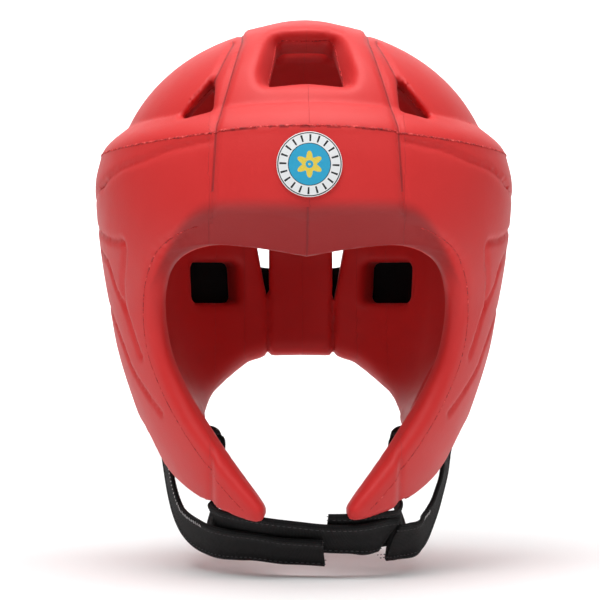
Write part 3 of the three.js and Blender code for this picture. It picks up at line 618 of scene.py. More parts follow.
def shell_field(x, y, z, straps):
    """Below zero inside the foam."""
    side = np.abs(x)
    skin = outer_distance(x, y, z)
    face, face_soft = face_cut(x, y, z)
    arch = outline_distance(x, z, ARCH_OUTLINE)
    tip_height = z - height_at(TONGUE_END_LEVEL)
    tip = rounded_box(x, tip_height, 18.5, -164.5 - height_at(TONGUE_END_LEVEL), 0.5)
    front = leaning_vent(x, y, z, FRONT_VENT, 4, *FRONT_VENT_TUNNEL)
    recess = outline_distance(x, z, RECESS) - 3 - 0.8 * skin
    beside = leaning_vent(side, y, z, SIDE_VENT, 2.5, *SIDE_VENT_TUNNEL)
    over = outline_distance(x, y, TOP_VENT)
    slit = outline_distance(side, z, SLIT)
    slot, seat = slot_and_seat(side, y, z)
    shell = skin - relief(x, y, z)
    for cut, softness in (
        (as_distance(hollow_value, x, y, z), 6),
        (ear_hollow(side, y, z) * 11.5, 7),
        (face, face_soft),
        (z - lower_edge(y) + 1, 7),
        (np.maximum(arch, BACK_START - y), 11),
        (np.maximum(tip, BACK_START - y), 6),
        (front, 3),
        (np.maximum(recess, y), 4),
        (beside - 0.5, 2.5),
        (np.maximum(over, -25 - z), 6),
        (np.maximum(slit, BACK_START - y), 3),
        (wing_hole(side, y, z), 6),
        (slot, 3),
        (seat, 5),
        (room_for_straps(x, y, z, straps), 1.5),
    ):
        shell = smooth_max(shell, -cut, softness)
    return shell


# Surface from the field.


def surface_net(values, origin, cell):
    """Vertices and quads on the zero surface of values on an even grid."""
    shape = tuple(n - 1 for n in values.shape)
    inside = values < 0
    count = np.zeros(shape, np.int8)
    for i in (0, 1):
        for j in (0, 1):
            for k in (0, 1):
                count += inside[i:shape[0] + i, j:shape[1] + j, k:shape[2] + k]
    mixed = np.argwhere((count > 0) & (count < 8))
    index = np.full(shape, -1, np.int64)
    index[tuple(mixed.T)] = np.arange(len(mixed))
    total = np.zeros((len(mixed), 3))
    hits = np.zeros(len(mixed))
    corners = [(i, j, k) for i in (0, 1) for j in (0, 1) for k in (0, 1)]
    for a in corners:
        for b in corners:
            if sum(b) - sum(a) != 1 or any(q < p for p, q in zip(a, b)):
                continue
            va = values[tuple((mixed + a).T)]
            vb = values[tuple((mixed + b).T)]
            crossing = (va < 0) != (vb < 0)
            t = np.where(crossing, va / np.where(crossing, va - vb, 1), 0)
            point = np.array(a) + (np.array(b) - np.array(a)) * t[:, None]
            total += point * crossing[:, None]
            hits += crossing
    points = origin + (mixed + total / hits[:, None]) * cell
    quads = []
    for axis in range(3):
        ahead = [slice(None)] * 3
        here = [slice(None)] * 3
        ahead[axis] = slice(1, None)
        here[axis] = slice(None, -1)
        start, end = inside[tuple(here)], inside[tuple(ahead)]
        u, v = [(1, 2), (2, 0), (0, 1)][axis]
        for flip, change in ((False, start & ~end), (True, ~start & end)):
            edges = np.argwhere(change)
            keep = (edges[:, u] > 0) & (edges[:, v] > 0)
            keep &= (edges[:, u] < shape[u]) & (edges[:, v] < shape[v])
            edges = edges[keep]
            ring = []
            for du, dv in ((-1, -1), (0, -1), (0, 0), (-1, 0)):
                place = edges.copy()
                place[:, u] += du
                place[:, v] += dv
                ring.append(index[tuple(place.T)])
            quad = np.stack(ring, 1)
            quads.append(quad[:, ::-1] if flip else quad)
    return points, np.concatenate(quads)


def read_grid(grid, points, origin, cell):
    """Values of a grid at points between its corners."""
    place = (points - origin) / cell
    base = np.clip(np.floor(place).astype(int), 0, np.array(grid.shape[:3]) - 2)
    t = place - base
    out = 0
    for i in (0, 1):
        for j in (0, 1):
            for k in (0, 1):
                weight = (
                    (t[:, 0] if i else 1 - t[:, 0]) * (t[:, 1] if j else 1 - t[:, 1])
                    * (t[:, 2] if k else 1 - t[:, 2])
                )
                corner = grid[base[:, 0] + i, base[:, 1] + j, base[:, 2] + k]
                out = out + corner * (weight[:, None] if corner.ndim > 1 else weight)
    return out


def keep_largest(points, quads):
    """Drops loose crumbs: only the largest joined body is kept."""
    label = np.arange(len(points))
    for _ in range(400):
        low = label[quads].min(1)
        new = label.copy()
        np.minimum.at(new, quads.ravel(), np.repeat(low, 4))
        new = new[new]
        if (new == label).all():
            break
        label = new
    names, counts = np.unique(label, return_counts=True)
    keep = label == names[counts.argmax()]
    number = np.cumsum(keep) - 1
    return points[keep], number[quads[keep[quads].all(1)]]


def crease_marks(points):
    """Signed distances, in mm, to the creases, the ridge and the brow's underside; the creases and
    the underside get painted shade in the foam's colour.
    """
    x, y, z = points.T
    side = np.abs(x)
    panel = side - panel_edge(y, z) - 1.4
    line = np.array(front_points(VENT_RIDGE_LINE))
    order = np.argsort(line[:, 1])
    vent = side - np.interp(z, line[order, 1], line[order, 0])
    outside = np.maximum(line[:, 1].min() - z, z - line[:, 1].max())
    s, c = turn_at(x, y)
    reach = np.where(y < 0, 0, np.clip(y, 0, 40) * 0.3)
    ridge = z - height_at(RIDGE_LEVEL) + droop_at(s, c) + reach
    brow_line = height_at(UNDER_BROW_LEVEL)
    under_brow = (z < brow_line) & (z > height_at(0.52)) & (y < -0.6 * FRONT_REACH)
    depth = outer_distance(x, y, z)
    skin = depth > -5
    # Painted shade: the 'shade' mark darkens the colour of the brow's underside, standing in for
    # the shade that falls there; it fades along an arch to the sides and towards the face opening.
    arch = brow_line - 27 * (np.maximum(side - 46, 0) / 26) ** 2
    shade = np.minimum(arch - z, 0.4 * (z - height_at(0.51)))
    shade = np.where((depth > -18) & (y < -0.55 * FRONT_REACH), np.clip(shade, -9, 9), -9)
    marks = {
        "panel": (panel, skin & (z > height_at(0.36))),
        "vent": (vent, skin & (y < 0) & (outside < 3)),
        "ridge": (ridge, skin),
        "keel": (x, under_brow),
        "shade": (shade, depth > -18),
    }
    return {name: np.where(shown, value, np.where(value < 0, -9, 9))
            for name, (value, shown) in marks.items()}


# Meshes and materials.


def mesh_object(name, points, faces, materials, uvs=None, slots=None):
    """A mesh object at the origin from points in millimetres."""
    mesh = bpy.data.meshes.new(name)
    mesh.from_pydata((np.asarray(points) * MM).tolist(), [], [list(map(int, f)) for f in faces])
    for material in materials:
        mesh.materials.append(material)
    if slots is not None:
        mesh.polygons.foreach_set("material_index", np.asarray(slots, np.int32))
    if uvs is not None:
        layer = mesh.uv_layers.new(name="weave")
        loops = np.empty(len(mesh.loops), np.int32)
        mesh.loops.foreach_get("vertex_index", loops)
        layer.data.foreach_set("uv", np.asarray(uvs, np.float32)[loops].ravel())
    mesh.polygons.foreach_set("use_smooth", np.full(len(mesh.polygons), True))
    mesh.update()
    mesh.validate()
    piece = bpy.data.objects.new(name, mesh)
    bpy.context.scene.collection.objects.link(piece)
    return piece


class Nodes:
    """Short calls for a material's node tree."""

    def __init__(self, name):
        self.material = bpy.data.materials.new(name)
        self.material.use_nodes = True
        self.tree = self.material.node_tree
        self.shader = self.tree.nodes["Principled BSDF"]

    def add(self, kind, inputs=None, **settings):
        node = self.tree.nodes.new("ShaderNode" + kind)
        for key, value in settings.items():
            setattr(node, key, value)
        for key, value in (inputs or {}).items():
            if hasattr(value, "is_output"):
                self.tree.links.new(value, node.inputs[key])
            else:
                node.inputs[key].default_value = value
        return node

    def link(self, output, target):
        self.tree.links.new(output, target)

    def ramp(self, fac, stops):
        node = self.add("ValToRGB", {"Fac": fac})
        elements = node.color_ramp.elements
        while len(elements) < len(stops):
            elements.new(0.5)
        for element, (place, colour) in zip(elements, stops):
            element.position = place
            element.color = (*colour, 1)
        return node.outputs["Color"]

    def maths(self, operation, a, b=0.0, clamp=False):
        return self.add("Math", {0: a, 1: b}, operation=operation, use_clamp=clamp).outputs[0]

    def mix(self, factor, a, b):
        inputs = {0: factor}
        for key, colour in ((6, a), (7, b)):
            inputs[key] = colour if hasattr(colour, "is_output") else (*colour, 1)
        return self.add("Mix", inputs, data_type="RGBA").outputs[2]

    def noise(self, scale, detail, roughness):
        place = self.add("TexCoord").outputs["Object"]
        inputs = {"Vector": place, "Scale": scale, "Detail": detail, "Roughness": roughness}
        return self.add("TexNoise", inputs).outputs["Fac"]

    def wave(self, uv, scale, direction, distortion=0.3, detail=1.0):
        inputs = {"Vector": uv, "Scale": scale, "Distortion": distortion, "Detail": detail}
        wave = self.add("TexWave", inputs, wave_type="BANDS", bands_direction=direction)
        return wave.outputs["Fac"]

    def smooth_range(self, value, low, high, start, end):
        inputs = {"Value": value, 1: low, 2: high, 3: start, 4: end}
        return self.add("MapRange", inputs, interpolation_type="SMOOTHSTEP").outputs["Result"]

    def rough(self, grain, share, least):
        """Roughness from its least value, more where the grain is high."""
        self.link(self.add("Math", {0: grain, 1: share, 2: least}, operation="MULTIPLY_ADD")
                  .outputs[0], self.shader.inputs["Roughness"])

    def line(self, name, width):
        """One on a line where the named attribute is nought, falling to nought beside it."""
        distance = self.maths("ABSOLUTE", self.read(name))
        return self.smooth_range(distance, 0.3 * width, width, 1.0, 0.0)

    def read(self, name):
        return self.add("Attribute", attribute_name=name).outputs["Fac"]

    def bump(self, height, strength, distance, normal=None):
        node = self.add("Bump", {"Height": height, "Strength": strength, "Distance": distance})
        if normal is not None:
            self.link(normal, node.inputs["Normal"])
        return node.outputs["Normal"]


# Painted shade colour for the pressed creases and the keel.
CREASE_SHADE_RED = (0.13, 0.01, 0.012)
TORN_RED = (0.3, 0.002, 0.004)
# Painted shade colour for the brow's underside.
PAINTED_SHADE_RED = (0.08, 0.002, 0.003)
FLECK_DARK = (0.25, 0.01, 0.012)
FLECK_LIGHT = (0.95, 0.16, 0.14)


def foam_material(colour, dark):
    """Moulded foam with a fine skin: mottled red, soft sheen and shallow pores, with shade painted
    along the pressed creases and under the brow.
    """
    nodes = Nodes("foam_skin")
    clouds = nodes.noise(9.0, 5.0, 0.55)
    scuffs = nodes.noise(70.0, 6.0, 0.6)
    base = nodes.mix(nodes.maths("MULTIPLY", clouds, 0.35), colour, dark)
    light = tuple(min(1, c * 1.12 + 0.01) for c in colour)
    base = nodes.mix(nodes.maths("MULTIPLY", scuffs, 0.3), base, light)
    wander = nodes.noise(160.0, 3.0, 0.6)
    # Painted shade: the colour darkens along the pressed creases and the keel, where shade falls in
    # the grooves; the same lines also dent the bump below.
    creases = 0.0
    for name, width, least in (("panel", 0.75, 0.3), ("vent", 0.8, 0.2)):
        strength = nodes.maths("ADD", wander, least)
        line = nodes.maths("MULTIPLY", nodes.line(name, width), strength, True)
        creases = nodes.maths("MAXIMUM", line, creases)
    keel = nodes.maths("MULTIPLY", nodes.line("keel", 0.7), 0.6)
    creases = nodes.maths("MAXIMUM", creases, keel)
    broken = nodes.maths("GREATER_THAN", wander, 0.46)
    torn = nodes.maths("MULTIPLY", nodes.line("ridge", 0.7), broken)
    # Painted shade in the creases and along the keel.
    base = nodes.mix(nodes.maths("MULTIPLY", creases, 0.6), base, CREASE_SHADE_RED)
    base = nodes.mix(nodes.maths("MULTIPLY", torn, 0.7), base, TORN_RED)
    # Painted shade: the brow's underside is darkened by the 'shade' mark.
    under = nodes.smooth_range(nodes.read("shade"), -5.0, 4.5, 0.0, 0.6)
    base = nodes.mix(under, base, PAINTED_SHADE_RED)
    nodes.link(base, nodes.shader.inputs["Base Color"])
    nodes.rough(scuffs, 0.16, 0.44)
    nodes.shader.inputs["Specular IOR Level"].default_value = 0.38
    nodes.shader.inputs["Sheen Weight"].default_value = 0.05
    grain = nodes.noise(900.0, 3.0, 0.6)
    waves = nodes.noise(28.0, 3.0, 0.5)
    skin = nodes.bump(waves, 0.35, 0.0012)
    skin = nodes.bump(grain, 0.22, 0.00035, skin)
    dent = nodes.maths("SUBTRACT", 1.0, creases)
    skin = nodes.bump(dent, 0.7, 0.0006, skin)
    nodes.link(skin, nodes.shader.inputs["Normal"])
    return nodes.material


def torn_material(colour):
    """Rough foam of the torn parting line, with dark and pale flecks."""
    nodes = Nodes("torn_parting")
    flecks = nodes.noise(420.0, 4.0, 0.6)
    shade = nodes.ramp(flecks, [(0.35, FLECK_DARK), (0.55, colour), (0.7, FLECK_LIGHT)])
    nodes.link(shade, nodes.shader.inputs["Base Color"])
    nodes.shader.inputs["Roughness"].default_value = 0.62
    nodes.link(nodes.bump(flecks, 0.4, 0.0004), nodes.shader.inputs["Normal"])
    return nodes.material


def webbing_material(name, colour, light, ribs=0):
    """Woven band: slanting yarns across and along, read from the piece's own weave map."""
    nodes = Nodes(name)
    uv = nodes.add("UVMap", uv_map="weave").outputs["UV"]
    weave = nodes.maths("MULTIPLY", nodes.wave(uv, 3.2, "X"), nodes.wave(uv, 4.4, "Y"))
    if ribs:
        cords = nodes.wave(uv, ribs, "X", distortion=0.0, detail=2.0)
        weave = nodes.maths("ADD", nodes.maths("MULTIPLY", weave, 0.4), cords)
    fuzz = nodes.noise(260.0, 5.0, 0.65)
    shade = nodes.mix(nodes.maths("MULTIPLY", weave, 0.5), colour, light)
    shade = nodes.mix(nodes.maths("MULTIPLY", fuzz, 0.35), shade, colour)
    nodes.link(shade, nodes.shader.inputs["Base Color"])
    nodes.rough(fuzz, 0.2, 0.68)
    nodes.shader.inputs["Sheen Weight"].default_value = 0.04
    nodes.shader.inputs["Specular IOR Level"].default_value = 0.2
    surface = nodes.bump(weave, 0.55, 0.0005)
    nodes.link(nodes.bump(fuzz, 0.25, 0.0003, surface), nodes.shader.inputs["Normal"])
    return nodes.material


def plain_material(name, colour, roughness):
    """One colour with fine flecks: thread and the parts of the patch."""
    nodes = Nodes(name)
    flecks = nodes.noise(600.0, 3.0, 0.5)
    darker = tuple(c * 0.86 for c in colour)
    nodes.link(nodes.mix(nodes.maths("MULTIPLY", flecks, 0.5), colour, darker),
               nodes.shader.inputs["Base Color"])
    nodes.rough(flecks, 0.12, roughness - 0.06)
    nodes.link(nodes.bump(flecks, 0.2, 0.0002), nodes.shader.inputs["Normal"])
    return nodes.material


# Straps.


def strap_sections(rows, per_row=8, twist=0.0):
    """Centres, width directions and face directions along a chin strap."""
    points = np.array([(a * HALF_WIDTH, -r * FRONT_REACH, height_at(l)) for a, r, l, _ in rows])
    leans = np.radians([row[3] for row in rows])
    padded = np.vstack([2 * points[0] - points[1], points, 2 * points[-1] - points[-2]])
    centres = []
    lean = []
    for i in range(len(points) - 1):
        p0, p1, p2, p3 = padded[i:i + 4]
        d0, d1, d2 = [np.sum((b - a) ** 2) ** 0.25 for a, b in ((p0, p1), (p1, p2), (p2, p3))]
        t1 = ((p1 - p0) / d0 - (p2 - p0) / (d0 + d1) + (p2 - p1) / d1) * d1
        t2 = ((p2 - p1) / d1 - (p3 - p1) / (d1 + d2) + (p3 - p2) / d2) * d1
        steps = per_row + (1 if i == len(points) - 2 else 0)
        for step in range(steps):
            t = step / per_row
            centres.append(p1 + t1 * t + (-3 * p1 + 3 * p2 - 2 * t1 - t2) * t**2
                           + (2 * p1 - 2 * p2 + t1 + t2) * t**3)
            lean.append(leans[i] + (leans[i + 1] - leans[i]) * t)
    centres = np.array(centres)
    lean = np.array(lean)
    if twist:
        turn = twist * smooth_step(-centres[:, 2], -height_at(0.86), -height_at(0.97))
        pivot_y, pivot_z = -0.545 * FRONT_REACH, height_at(1.03)
        dy, dz = centres[:, 1] - pivot_y, centres[:, 2] - pivot_z
        centres[:, 1] = pivot_y + dy * np.cos(turn) + dz * np.sin(turn)
        centres[:, 2] = pivot_z - dy * np.sin(turn) + dz * np.cos(turn)
        lean = lean + turn
    along = np.gradient(centres, axis=0)
    along /= np.linalg.norm(along, axis=1)[:, None]
    across = np.stack([0.3 * centres[:, 0] / HALF_WIDTH, np.cos(lean), -np.sin(lean)], 1)
    across -= along * (across * along).sum(1)[:, None]
    across /= np.linalg.norm(across, axis=1)[:, None]
    return centres, across, np.cross(along, across)


def strap_profile(width, thickness):
    """Cross-section of bound webbing: a thin middle between two rolled edges."""
    half, edge = width / 2, thickness / 2
    middle = edge * 0.8
    bind = 3.2
    top = [(-half + bind + 0.5, middle), (-half + bind, edge * 0.97), (-half + 1.4, edge),
           (-half + 0.5, edge * 0.75), (-half, 0)]
    left = top + [(u, -v) for u, v in top[:-1][::-1]]
    right = [(-u, -v) for u, v in left]
    return left + [(-half * 0.33, -middle * 1.05), (half * 0.33, -middle * 1.05)] + right + [
        (half * 0.33, middle * 1.05), (-half * 0.33, middle * 1.05)]


def sweep(name, centres, across, face, profile, material, chamfer=0.0):
    """A band swept through its sections, closed at both ends, its last corner cut away."""
    loops = []
    uvs = []
    length = np.concatenate([[0], np.cumsum(np.linalg.norm(np.diff(centres, axis=0), axis=1))])
    count = len(profile)
    near_end = np.clip(1 - (length[-1] - length) / (2.2 * chamfer + 1e-6), 0, 1)
    for i, (centre, side, up) in enumerate(zip(centres, across, face)):
        for u, v in profile:
            back = np.cross(side, up) * chamfer * near_end[i] * max(u, 0) * 2 / STRAP_WIDTH
            loops.append(centre + side * u + up * v - back)
            uvs.append((u * 0.1, length[i] * 0.1))
    points = np.array(loops)
    uvs = np.array(uvs)
    faces = []
    for i in range(len(centres) - 1):
        for j in range(count):
            k = (j + 1) % count
            a, b = i * count, (i + 1) * count
            faces.append((a + j, a + k, b + k, b + j))
    last = (len(centres) - 1) * count
    faces.append(tuple(range(count))[::-1])
    faces.append(tuple(last + j for j in range(count)))
    piece = mesh_object(name, points, faces, [material], uvs)
    face_outwards(piece)
    return piece


def face_outwards(piece):
    work = bmesh.new()
    work.from_mesh(piece.data)
    bmesh.ops.recalc_face_normals(work, faces=work.faces)
    work.to_mesh(piece.data)
    work.free()
    piece.data.update()


# Rows of small things.


def row_tree(name, material, shape):
    """Geometry Nodes that put one small shape again and again along a line."""
    tree = bpy.data.node_groups.new(name, "GeometryNodeTree")
    face = tree.interface
    face.new_socket("Geometry", in_out="INPUT", socket_type="NodeSocketGeometry")
    for label, value in (("Pitch", 0.003), ("Length", 0.002), ("Width", 0.0006),
                         ("Height", 0.0004), ("Unevenness", 0.2), ("Gaps", 0.0)):
        socket = face.new_socket(label, in_out="INPUT", socket_type="NodeSocketFloat")
        socket.default_value = value
    seed = face.new_socket("Seed", in_out="INPUT", socket_type="NodeSocketInt")
    seed.default_value = 7
    face.new_socket("Geometry", in_out="OUTPUT", socket_type="NodeSocketGeometry")

    def node(kind, inputs=None, **settings):
        made = tree.nodes.new(kind)
        for key, value in settings.items():
            setattr(made, key, value)
        for key, value in (inputs or {}).items():
            made.inputs[key].default_value = value
        return made

    given = node("NodeGroupInput")
    result = node("NodeGroupOutput")
    curve = node("GeometryNodeMeshToCurve")
    resample = node("GeometryNodeResampleCurve", mode="LENGTH")
    tangent = node("GeometryNodeInputTangent")
    outward = node("GeometryNodeInputNamedAttribute", {"Name": "outward"},
                   data_type="FLOAT_VECTOR")
    store = node("GeometryNodeCaptureAttribute")
    for label in ("Along", "Outward"):
        store.capture_items.new("VECTOR", label)
    align = node("FunctionNodeAxesToRotation", primary_axis="X", secondary_axis="Z")
    instances = node("GeometryNodeInstanceOnPoints")
    if shape == "bead":
        small = node("GeometryNodeMeshUVSphere", {"Segments": 6, "Rings": 4, "Radius": 0.5})
    else:
        small = node("GeometryNodeMeshIcoSphere", {"Radius": 0.5, "Subdivisions": 1})
    size = node("ShaderNodeCombineXYZ")
    uneven = node("FunctionNodeRandomValue", data_type="FLOAT_VECTOR")
    one_less = node("ShaderNodeMath", {0: 1.0}, operation="SUBTRACT")
    one_more = node("ShaderNodeMath", {0: 1.0}, operation="ADD")
    scale = node("ShaderNodeVectorMath", operation="MULTIPLY")
    chance = node("FunctionNodeRandomValue", data_type="BOOLEAN")
    drop = node("GeometryNodeDeleteGeometry", domain="POINT")
    points = node("GeometryNodeCurveToPoints", mode="EVALUATED")
    realise = node("GeometryNodeRealizeInstances")
    finish = node("GeometryNodeSetMaterial", {"Material": material})
    for start, output, end, into in (
        (given, "Geometry", curve, "Mesh"),
        (curve, "Curve", resample, "Curve"),
        (given, "Pitch", resample, "Length"),
        (resample, "Curve", store, "Geometry"),
        (tangent, "Tangent", store, "Along"),
        (outward, "Attribute", store, "Outward"),
        (store, "Geometry", points, "Curve"),
        (points, "Points", drop, "Geometry"),
        (given, "Gaps", chance, "Probability"),
        (given, "Seed", chance, "Seed"),
        (chance, 3, drop, "Selection"),
        (drop, "Geometry", instances, "Points"),
        (small, "Mesh", instances, "Instance"),
        (store, "Along", align, "Primary Axis"),
        (store, "Outward", align, "Secondary Axis"),
        (align, "Rotation", instances, "Rotation"),
        (given, "Length", size, 0),
        (given, "Width", size, 1),
        (given, "Height", size, 2),
        (given, "Unevenness", one_less, 1),
        (given, "Unevenness", one_more, 1),
        (one_less, 0, uneven, 0),
        (one_more, 0, uneven, 1),
        (given, "Seed", uneven, "Seed"),
        (size, "Vector", scale, 0),
        (uneven, 0, scale, 1),
        (scale, "Vector", instances, "Scale"),
        (instances, "Instances", realise, "Geometry"),
        (realise, "Geometry", finish, "Geometry"),
        (finish, "Geometry", result, "Geometry"),
    ):
        tree.links.new(start.outputs[output], end.inputs[into])
    return tree


def row_along(name, lines, tree, sizes, material):
    """A plain mesh of small things along lines of (point, outward) pairs, in millimetres."""
    points, edges, outward = [], [], []
    for line in lines:
        start = len(points)
        points.extend(tuple(np.asarray(p) * MM) for p, _ in line)
        outward.extend(tuple(n) for _, n in line)
        edges.extend((start + i, start + i + 1) for i in range(len(line) - 1))
    guide = bpy.data.meshes.new(name + "_guide")
    guide.from_pydata(points, edges, [])
    layer = guide.attributes.new("outward", "FLOAT_VECTOR", "POINT")
    layer.data.foreach_set("vector", np.array(outward, np.float32).ravel())
    piece = bpy.data.objects.new(name, guide)
    bpy.context.scene.collection.objects.link(piece)
    modifier = piece.modifiers.new("row", "NODES")
    modifier.node_group = tree
    sockets = {item.name: item.identifier for item in tree.interface.items_tree
               if item.in_out == "INPUT"}
    for label, value in sizes.items():
        modifier[sockets[label]] = value
    evaluated = piece.evaluated_get(bpy.context.evaluated_depsgraph_get())
    mesh = bpy.data.meshes.new_from_object(evaluated)
    piece.modifiers.clear()
    piece.data = mesh
    mesh.name = name
    if not mesh.materials:
        mesh.materials.append(material)
    if not mesh.polygons:
        raise RuntimeError(name + " came out empty")
    mesh.polygons.foreach_set("use_smooth", np.full(len(mesh.polygons), True))
    return piece


def row_sizes(pitch, length, width, height, uneven, gaps, seed):
    """A row's inputs; the sizes are in metres."""
    return {"Pitch": pitch, "Length": length, "Width": width, "Height": height,
            "Unevenness": uneven, "Gaps": gaps, "Seed": seed}


def on_form(x, z, offset, behind):
    """The y of the outer form at x and z, a given distance off it."""
    near = np.full(np.shape(x), 20.0 if behind else -20.0)
    far = np.full(np.shape(x), 150.0 if behind else -150.0)
    for _ in range(30):
        middle = (near + far) / 2
        inside = outer_distance(x, middle, z) < offset
        near = np.where(inside, middle, near)
        far = np.where(inside, far, middle)
    return (near + far) / 2


def outward_at(points):
    """Directions straight out of the outer form."""
    x, y, z = np.asarray(points, float).T
    step = 0.5
    here = outer_value(x, y, z)
    out = np.stack([
        outer_value(x + step, y, z) - here,
        outer_value(x, y + step, z) - here,
        outer_value(x, y, z + step) - here,
    ], 1)
    return out / np.linalg.norm(out, axis=1)[:, None]


# Settings.


class ShellSettings(bpy.types.PropertyGroup):
    """Mesh size and colours of the foam"""

    cell: bpy.props.FloatProperty(
        name="Mesh cell", description="Edge of the cells that the foam is meshed in, in mm",
        default=2.05, min=1.0, max=6.0)
    colour: bpy.props.FloatVectorProperty(
        name="Foam colour", description="Main colour of the foam skin",
        subtype="COLOR", default=(0.64, 0.02, 0.019), min=0, max=1)
    dark: bpy.props.FloatVectorProperty(
        name="Foam shade", description="Darker clouds in the foam skin",
        subtype="COLOR", default=(0.5, 0.012, 0.013), min=0, max=1)
    flash_width: bpy.props.FloatProperty(
        name="Parting line width", description="Width of the torn parting line",
        subtype="DISTANCE", unit="LENGTH", default=0.001, min=0.0002, max=0.004)


class StrapSettings(bpy.types.PropertyGroup):
    """Colours, turn and stitches of the straps"""

    colour: bpy.props.FloatVectorProperty(
        name="Webbing colour", description="Colour of the chin webbing and the rear band",
        subtype="COLOR", default=(0.002, 0.002, 0.0024), min=0, max=1)
    light: bpy.props.FloatVectorProperty(
        name="Webbing highlight", description="Colour of the raised yarns",
        subtype="COLOR", default=(0.009, 0.009, 0.01), min=0, max=1)
    stitch_colour: bpy.props.FloatVectorProperty(
        name="Stitch colour", description="Colour of the pale sewing thread",
        subtype="COLOR", default=(0.5, 0.5, 0.5), min=0, max=1)
    twist: bpy.props.FloatProperty(
        name="Front turn", description="How far the straps turn their faces forward at the chin",
        subtype="ANGLE", unit="ROTATION", default=math.radians(14), min=0, max=0.6)
    stitch_pitch: bpy.props.FloatProperty(
        name="Stitch pitch", description="Distance from one stitch to the next",
        subtype="DISTANCE", unit="LENGTH", default=0.0028, min=0.001, max=0.01)


class PatchSettings(bpy.types.PropertyGroup):
    """Colours of the patch"""

    field_colour: bpy.props.FloatVectorProperty(
        name="Patch field", description="Blue field of the round patch",
        subtype="COLOR", default=(0.03, 0.38, 0.62), min=0, max=1)
    motif_colour: bpy.props.FloatVectorProperty(
        name="Patch motif", description="Yellow figure in the middle of the patch",
        subtype="COLOR", default=(0.8, 0.62, 0.08), min=0, max=1)


class StudioSettings(bpy.types.PropertyGroup):
    """Floor and camera"""

    floor_drop: bpy.props.FloatProperty(
        name="Floor height", description="Height of the floor below the crown's inside",
        subtype="DISTANCE", unit="LENGTH", default=-0.2712, min=-1, max=0)
    floor_colour: bpy.props.FloatVectorProperty(
        name="Floor colour", description="Colour of the floor and backdrop",
        subtype="COLOR", default=(0.93, 0.93, 0.93), min=0, max=1)
    distance: bpy.props.FloatProperty(
        name="Camera distance", description="Distance from the camera to the guard's middle",
        subtype="DISTANCE", unit="LENGTH", default=1.5, min=0.3, max=10)
    turn: bpy.props.FloatProperty(
        name="Camera turn", description="How far round the guard the camera stands",
        subtype="ANGLE", unit="ROTATION", default=math.radians(0.9), min=-3.2, max=3.2)
    lens: bpy.props.FloatProperty(
        name="Lens", description="Focal length of the camera in mm",
        default=169.2, min=20, max=400)


def settings():
    return bpy.context.scene.head_guard


class HeadGuardSettings(bpy.types.PropertyGroup):
    """All settings of the head guard"""

    shell: bpy.props.PointerProperty(type=ShellSettings, name="Shell", description="Foam shell")
    strap: bpy.props.PointerProperty(type=StrapSettings, name="Straps", description="Straps")
    patch: bpy.props.PointerProperty(type=PatchSettings, name="Patch", description="Patch")
    studio: bpy.props.PointerProperty(type=StudioSettings, name="Studio", description="Studio")


# Operators.

# Corners, in mm, of the box that holds the whole shell.
GRID_LOW = np.array([-114.0, -137.0, -246.0])
GRID_HIGH = np.array([114.0, 128.0, 21.0])


class GUARD_OT_shell(bpy.types.Operator):
    """Builds the foam shell with rounded rims, pressed lines and vents"""

    bl_idname = "head_guard.shell"
    bl_label = "Foam shell"

    def execute(self, context):
        values = settings().shell
        cell = values.cell
        straps = [strap_sections(rows, 4) for rows in (LEFT_STRAP, RIGHT_STRAP)]
        count = np.ceil((GRID_HIGH - GRID_LOW) / cell).astype(int) + 1
        x, y, z = [low + np.arange(n) * cell for low, n in zip(GRID_LOW, count)]
        field = shell_field(x[:, None, None], y[None, :, None], z[None, None, :], straps)
        points, quads = surface_net(field, GRID_LOW, cell)
        points, quads = keep_largest(points, quads)
        slopes = np.stack(np.gradient(field, cell), -1)
        for _ in range(3):
            here = shell_field(*points.T, straps)
            slope = read_grid(slopes, points, GRID_LOW, cell)
            steep = (slope**2).sum(1) + 1e-6
            move = np.clip(here / np.sqrt(steep), -0.5 * cell, 0.5 * cell)
            points = points - slope / np.sqrt(steep)[:, None] * move[:, None]
        foam = foam_material(values.colour[:], values.dark[:])
        piece = mesh_object("foam_shell", points, quads, [foam])
        for name, marks in crease_marks(points).items():
            layer = piece.data.attributes.new(name, "FLOAT", "POINT")
            layer.data.foreach_set("value", marks.astype(np.float32))
        face_outwards(piece)
        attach(piece, "root")
        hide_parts("shell")
        return {"FINISHED"}


class GUARD_OT_parting(bpy.types.Operator):
    """Lays the torn parting line along the ridge and round the rim"""

    bl_idname = "head_guard.parting"
    bl_label = "Parting line"

    def execute(self, context):
        values = settings().shell
        torn = torn_material(values.colour[:])
        tree = row_tree("torn_row", torn, "flake")
        width = values.flash_width
        for name, lines, share, gaps in (
            ("ridge_flash", [ridge_line()], 1.0, 0.12),
            ("rim_flash", rim_lines(), 0.62, 0.3),
            ("vent_flash", vent_lines(), 0.8, 0.15),
        ):
            size = width * share
            sizes = row_sizes(0.8 * size, 1.9 * size, size, 0.6 * size, 0.6, gaps, 11)
            piece = row_along(name, lines, tree, sizes, torn)
            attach(piece, "root")
        return {"FINISHED"}


def ridge_line():
    """Points along the visor's ridge from ear to ear, on the skin."""
    angles = np.radians(np.linspace(-97, 97, 220))
    height = height_at(RIDGE_LEVEL)
    line = []
    for angle in angles:
        s, c = math.sin(angle), math.cos(angle)
        droop = float(droop_at(np.array(abs(s)), np.array(c)))
        power = 2 / OUTER_ROWS[0][4]
        x = outer_width(height) * math.copysign(abs(s) ** power, s)
        y = -outer_front(height) * math.copysign(abs(c) ** power, c)
        line.append((x, y, height - droop))
    return settle(np.array(line))


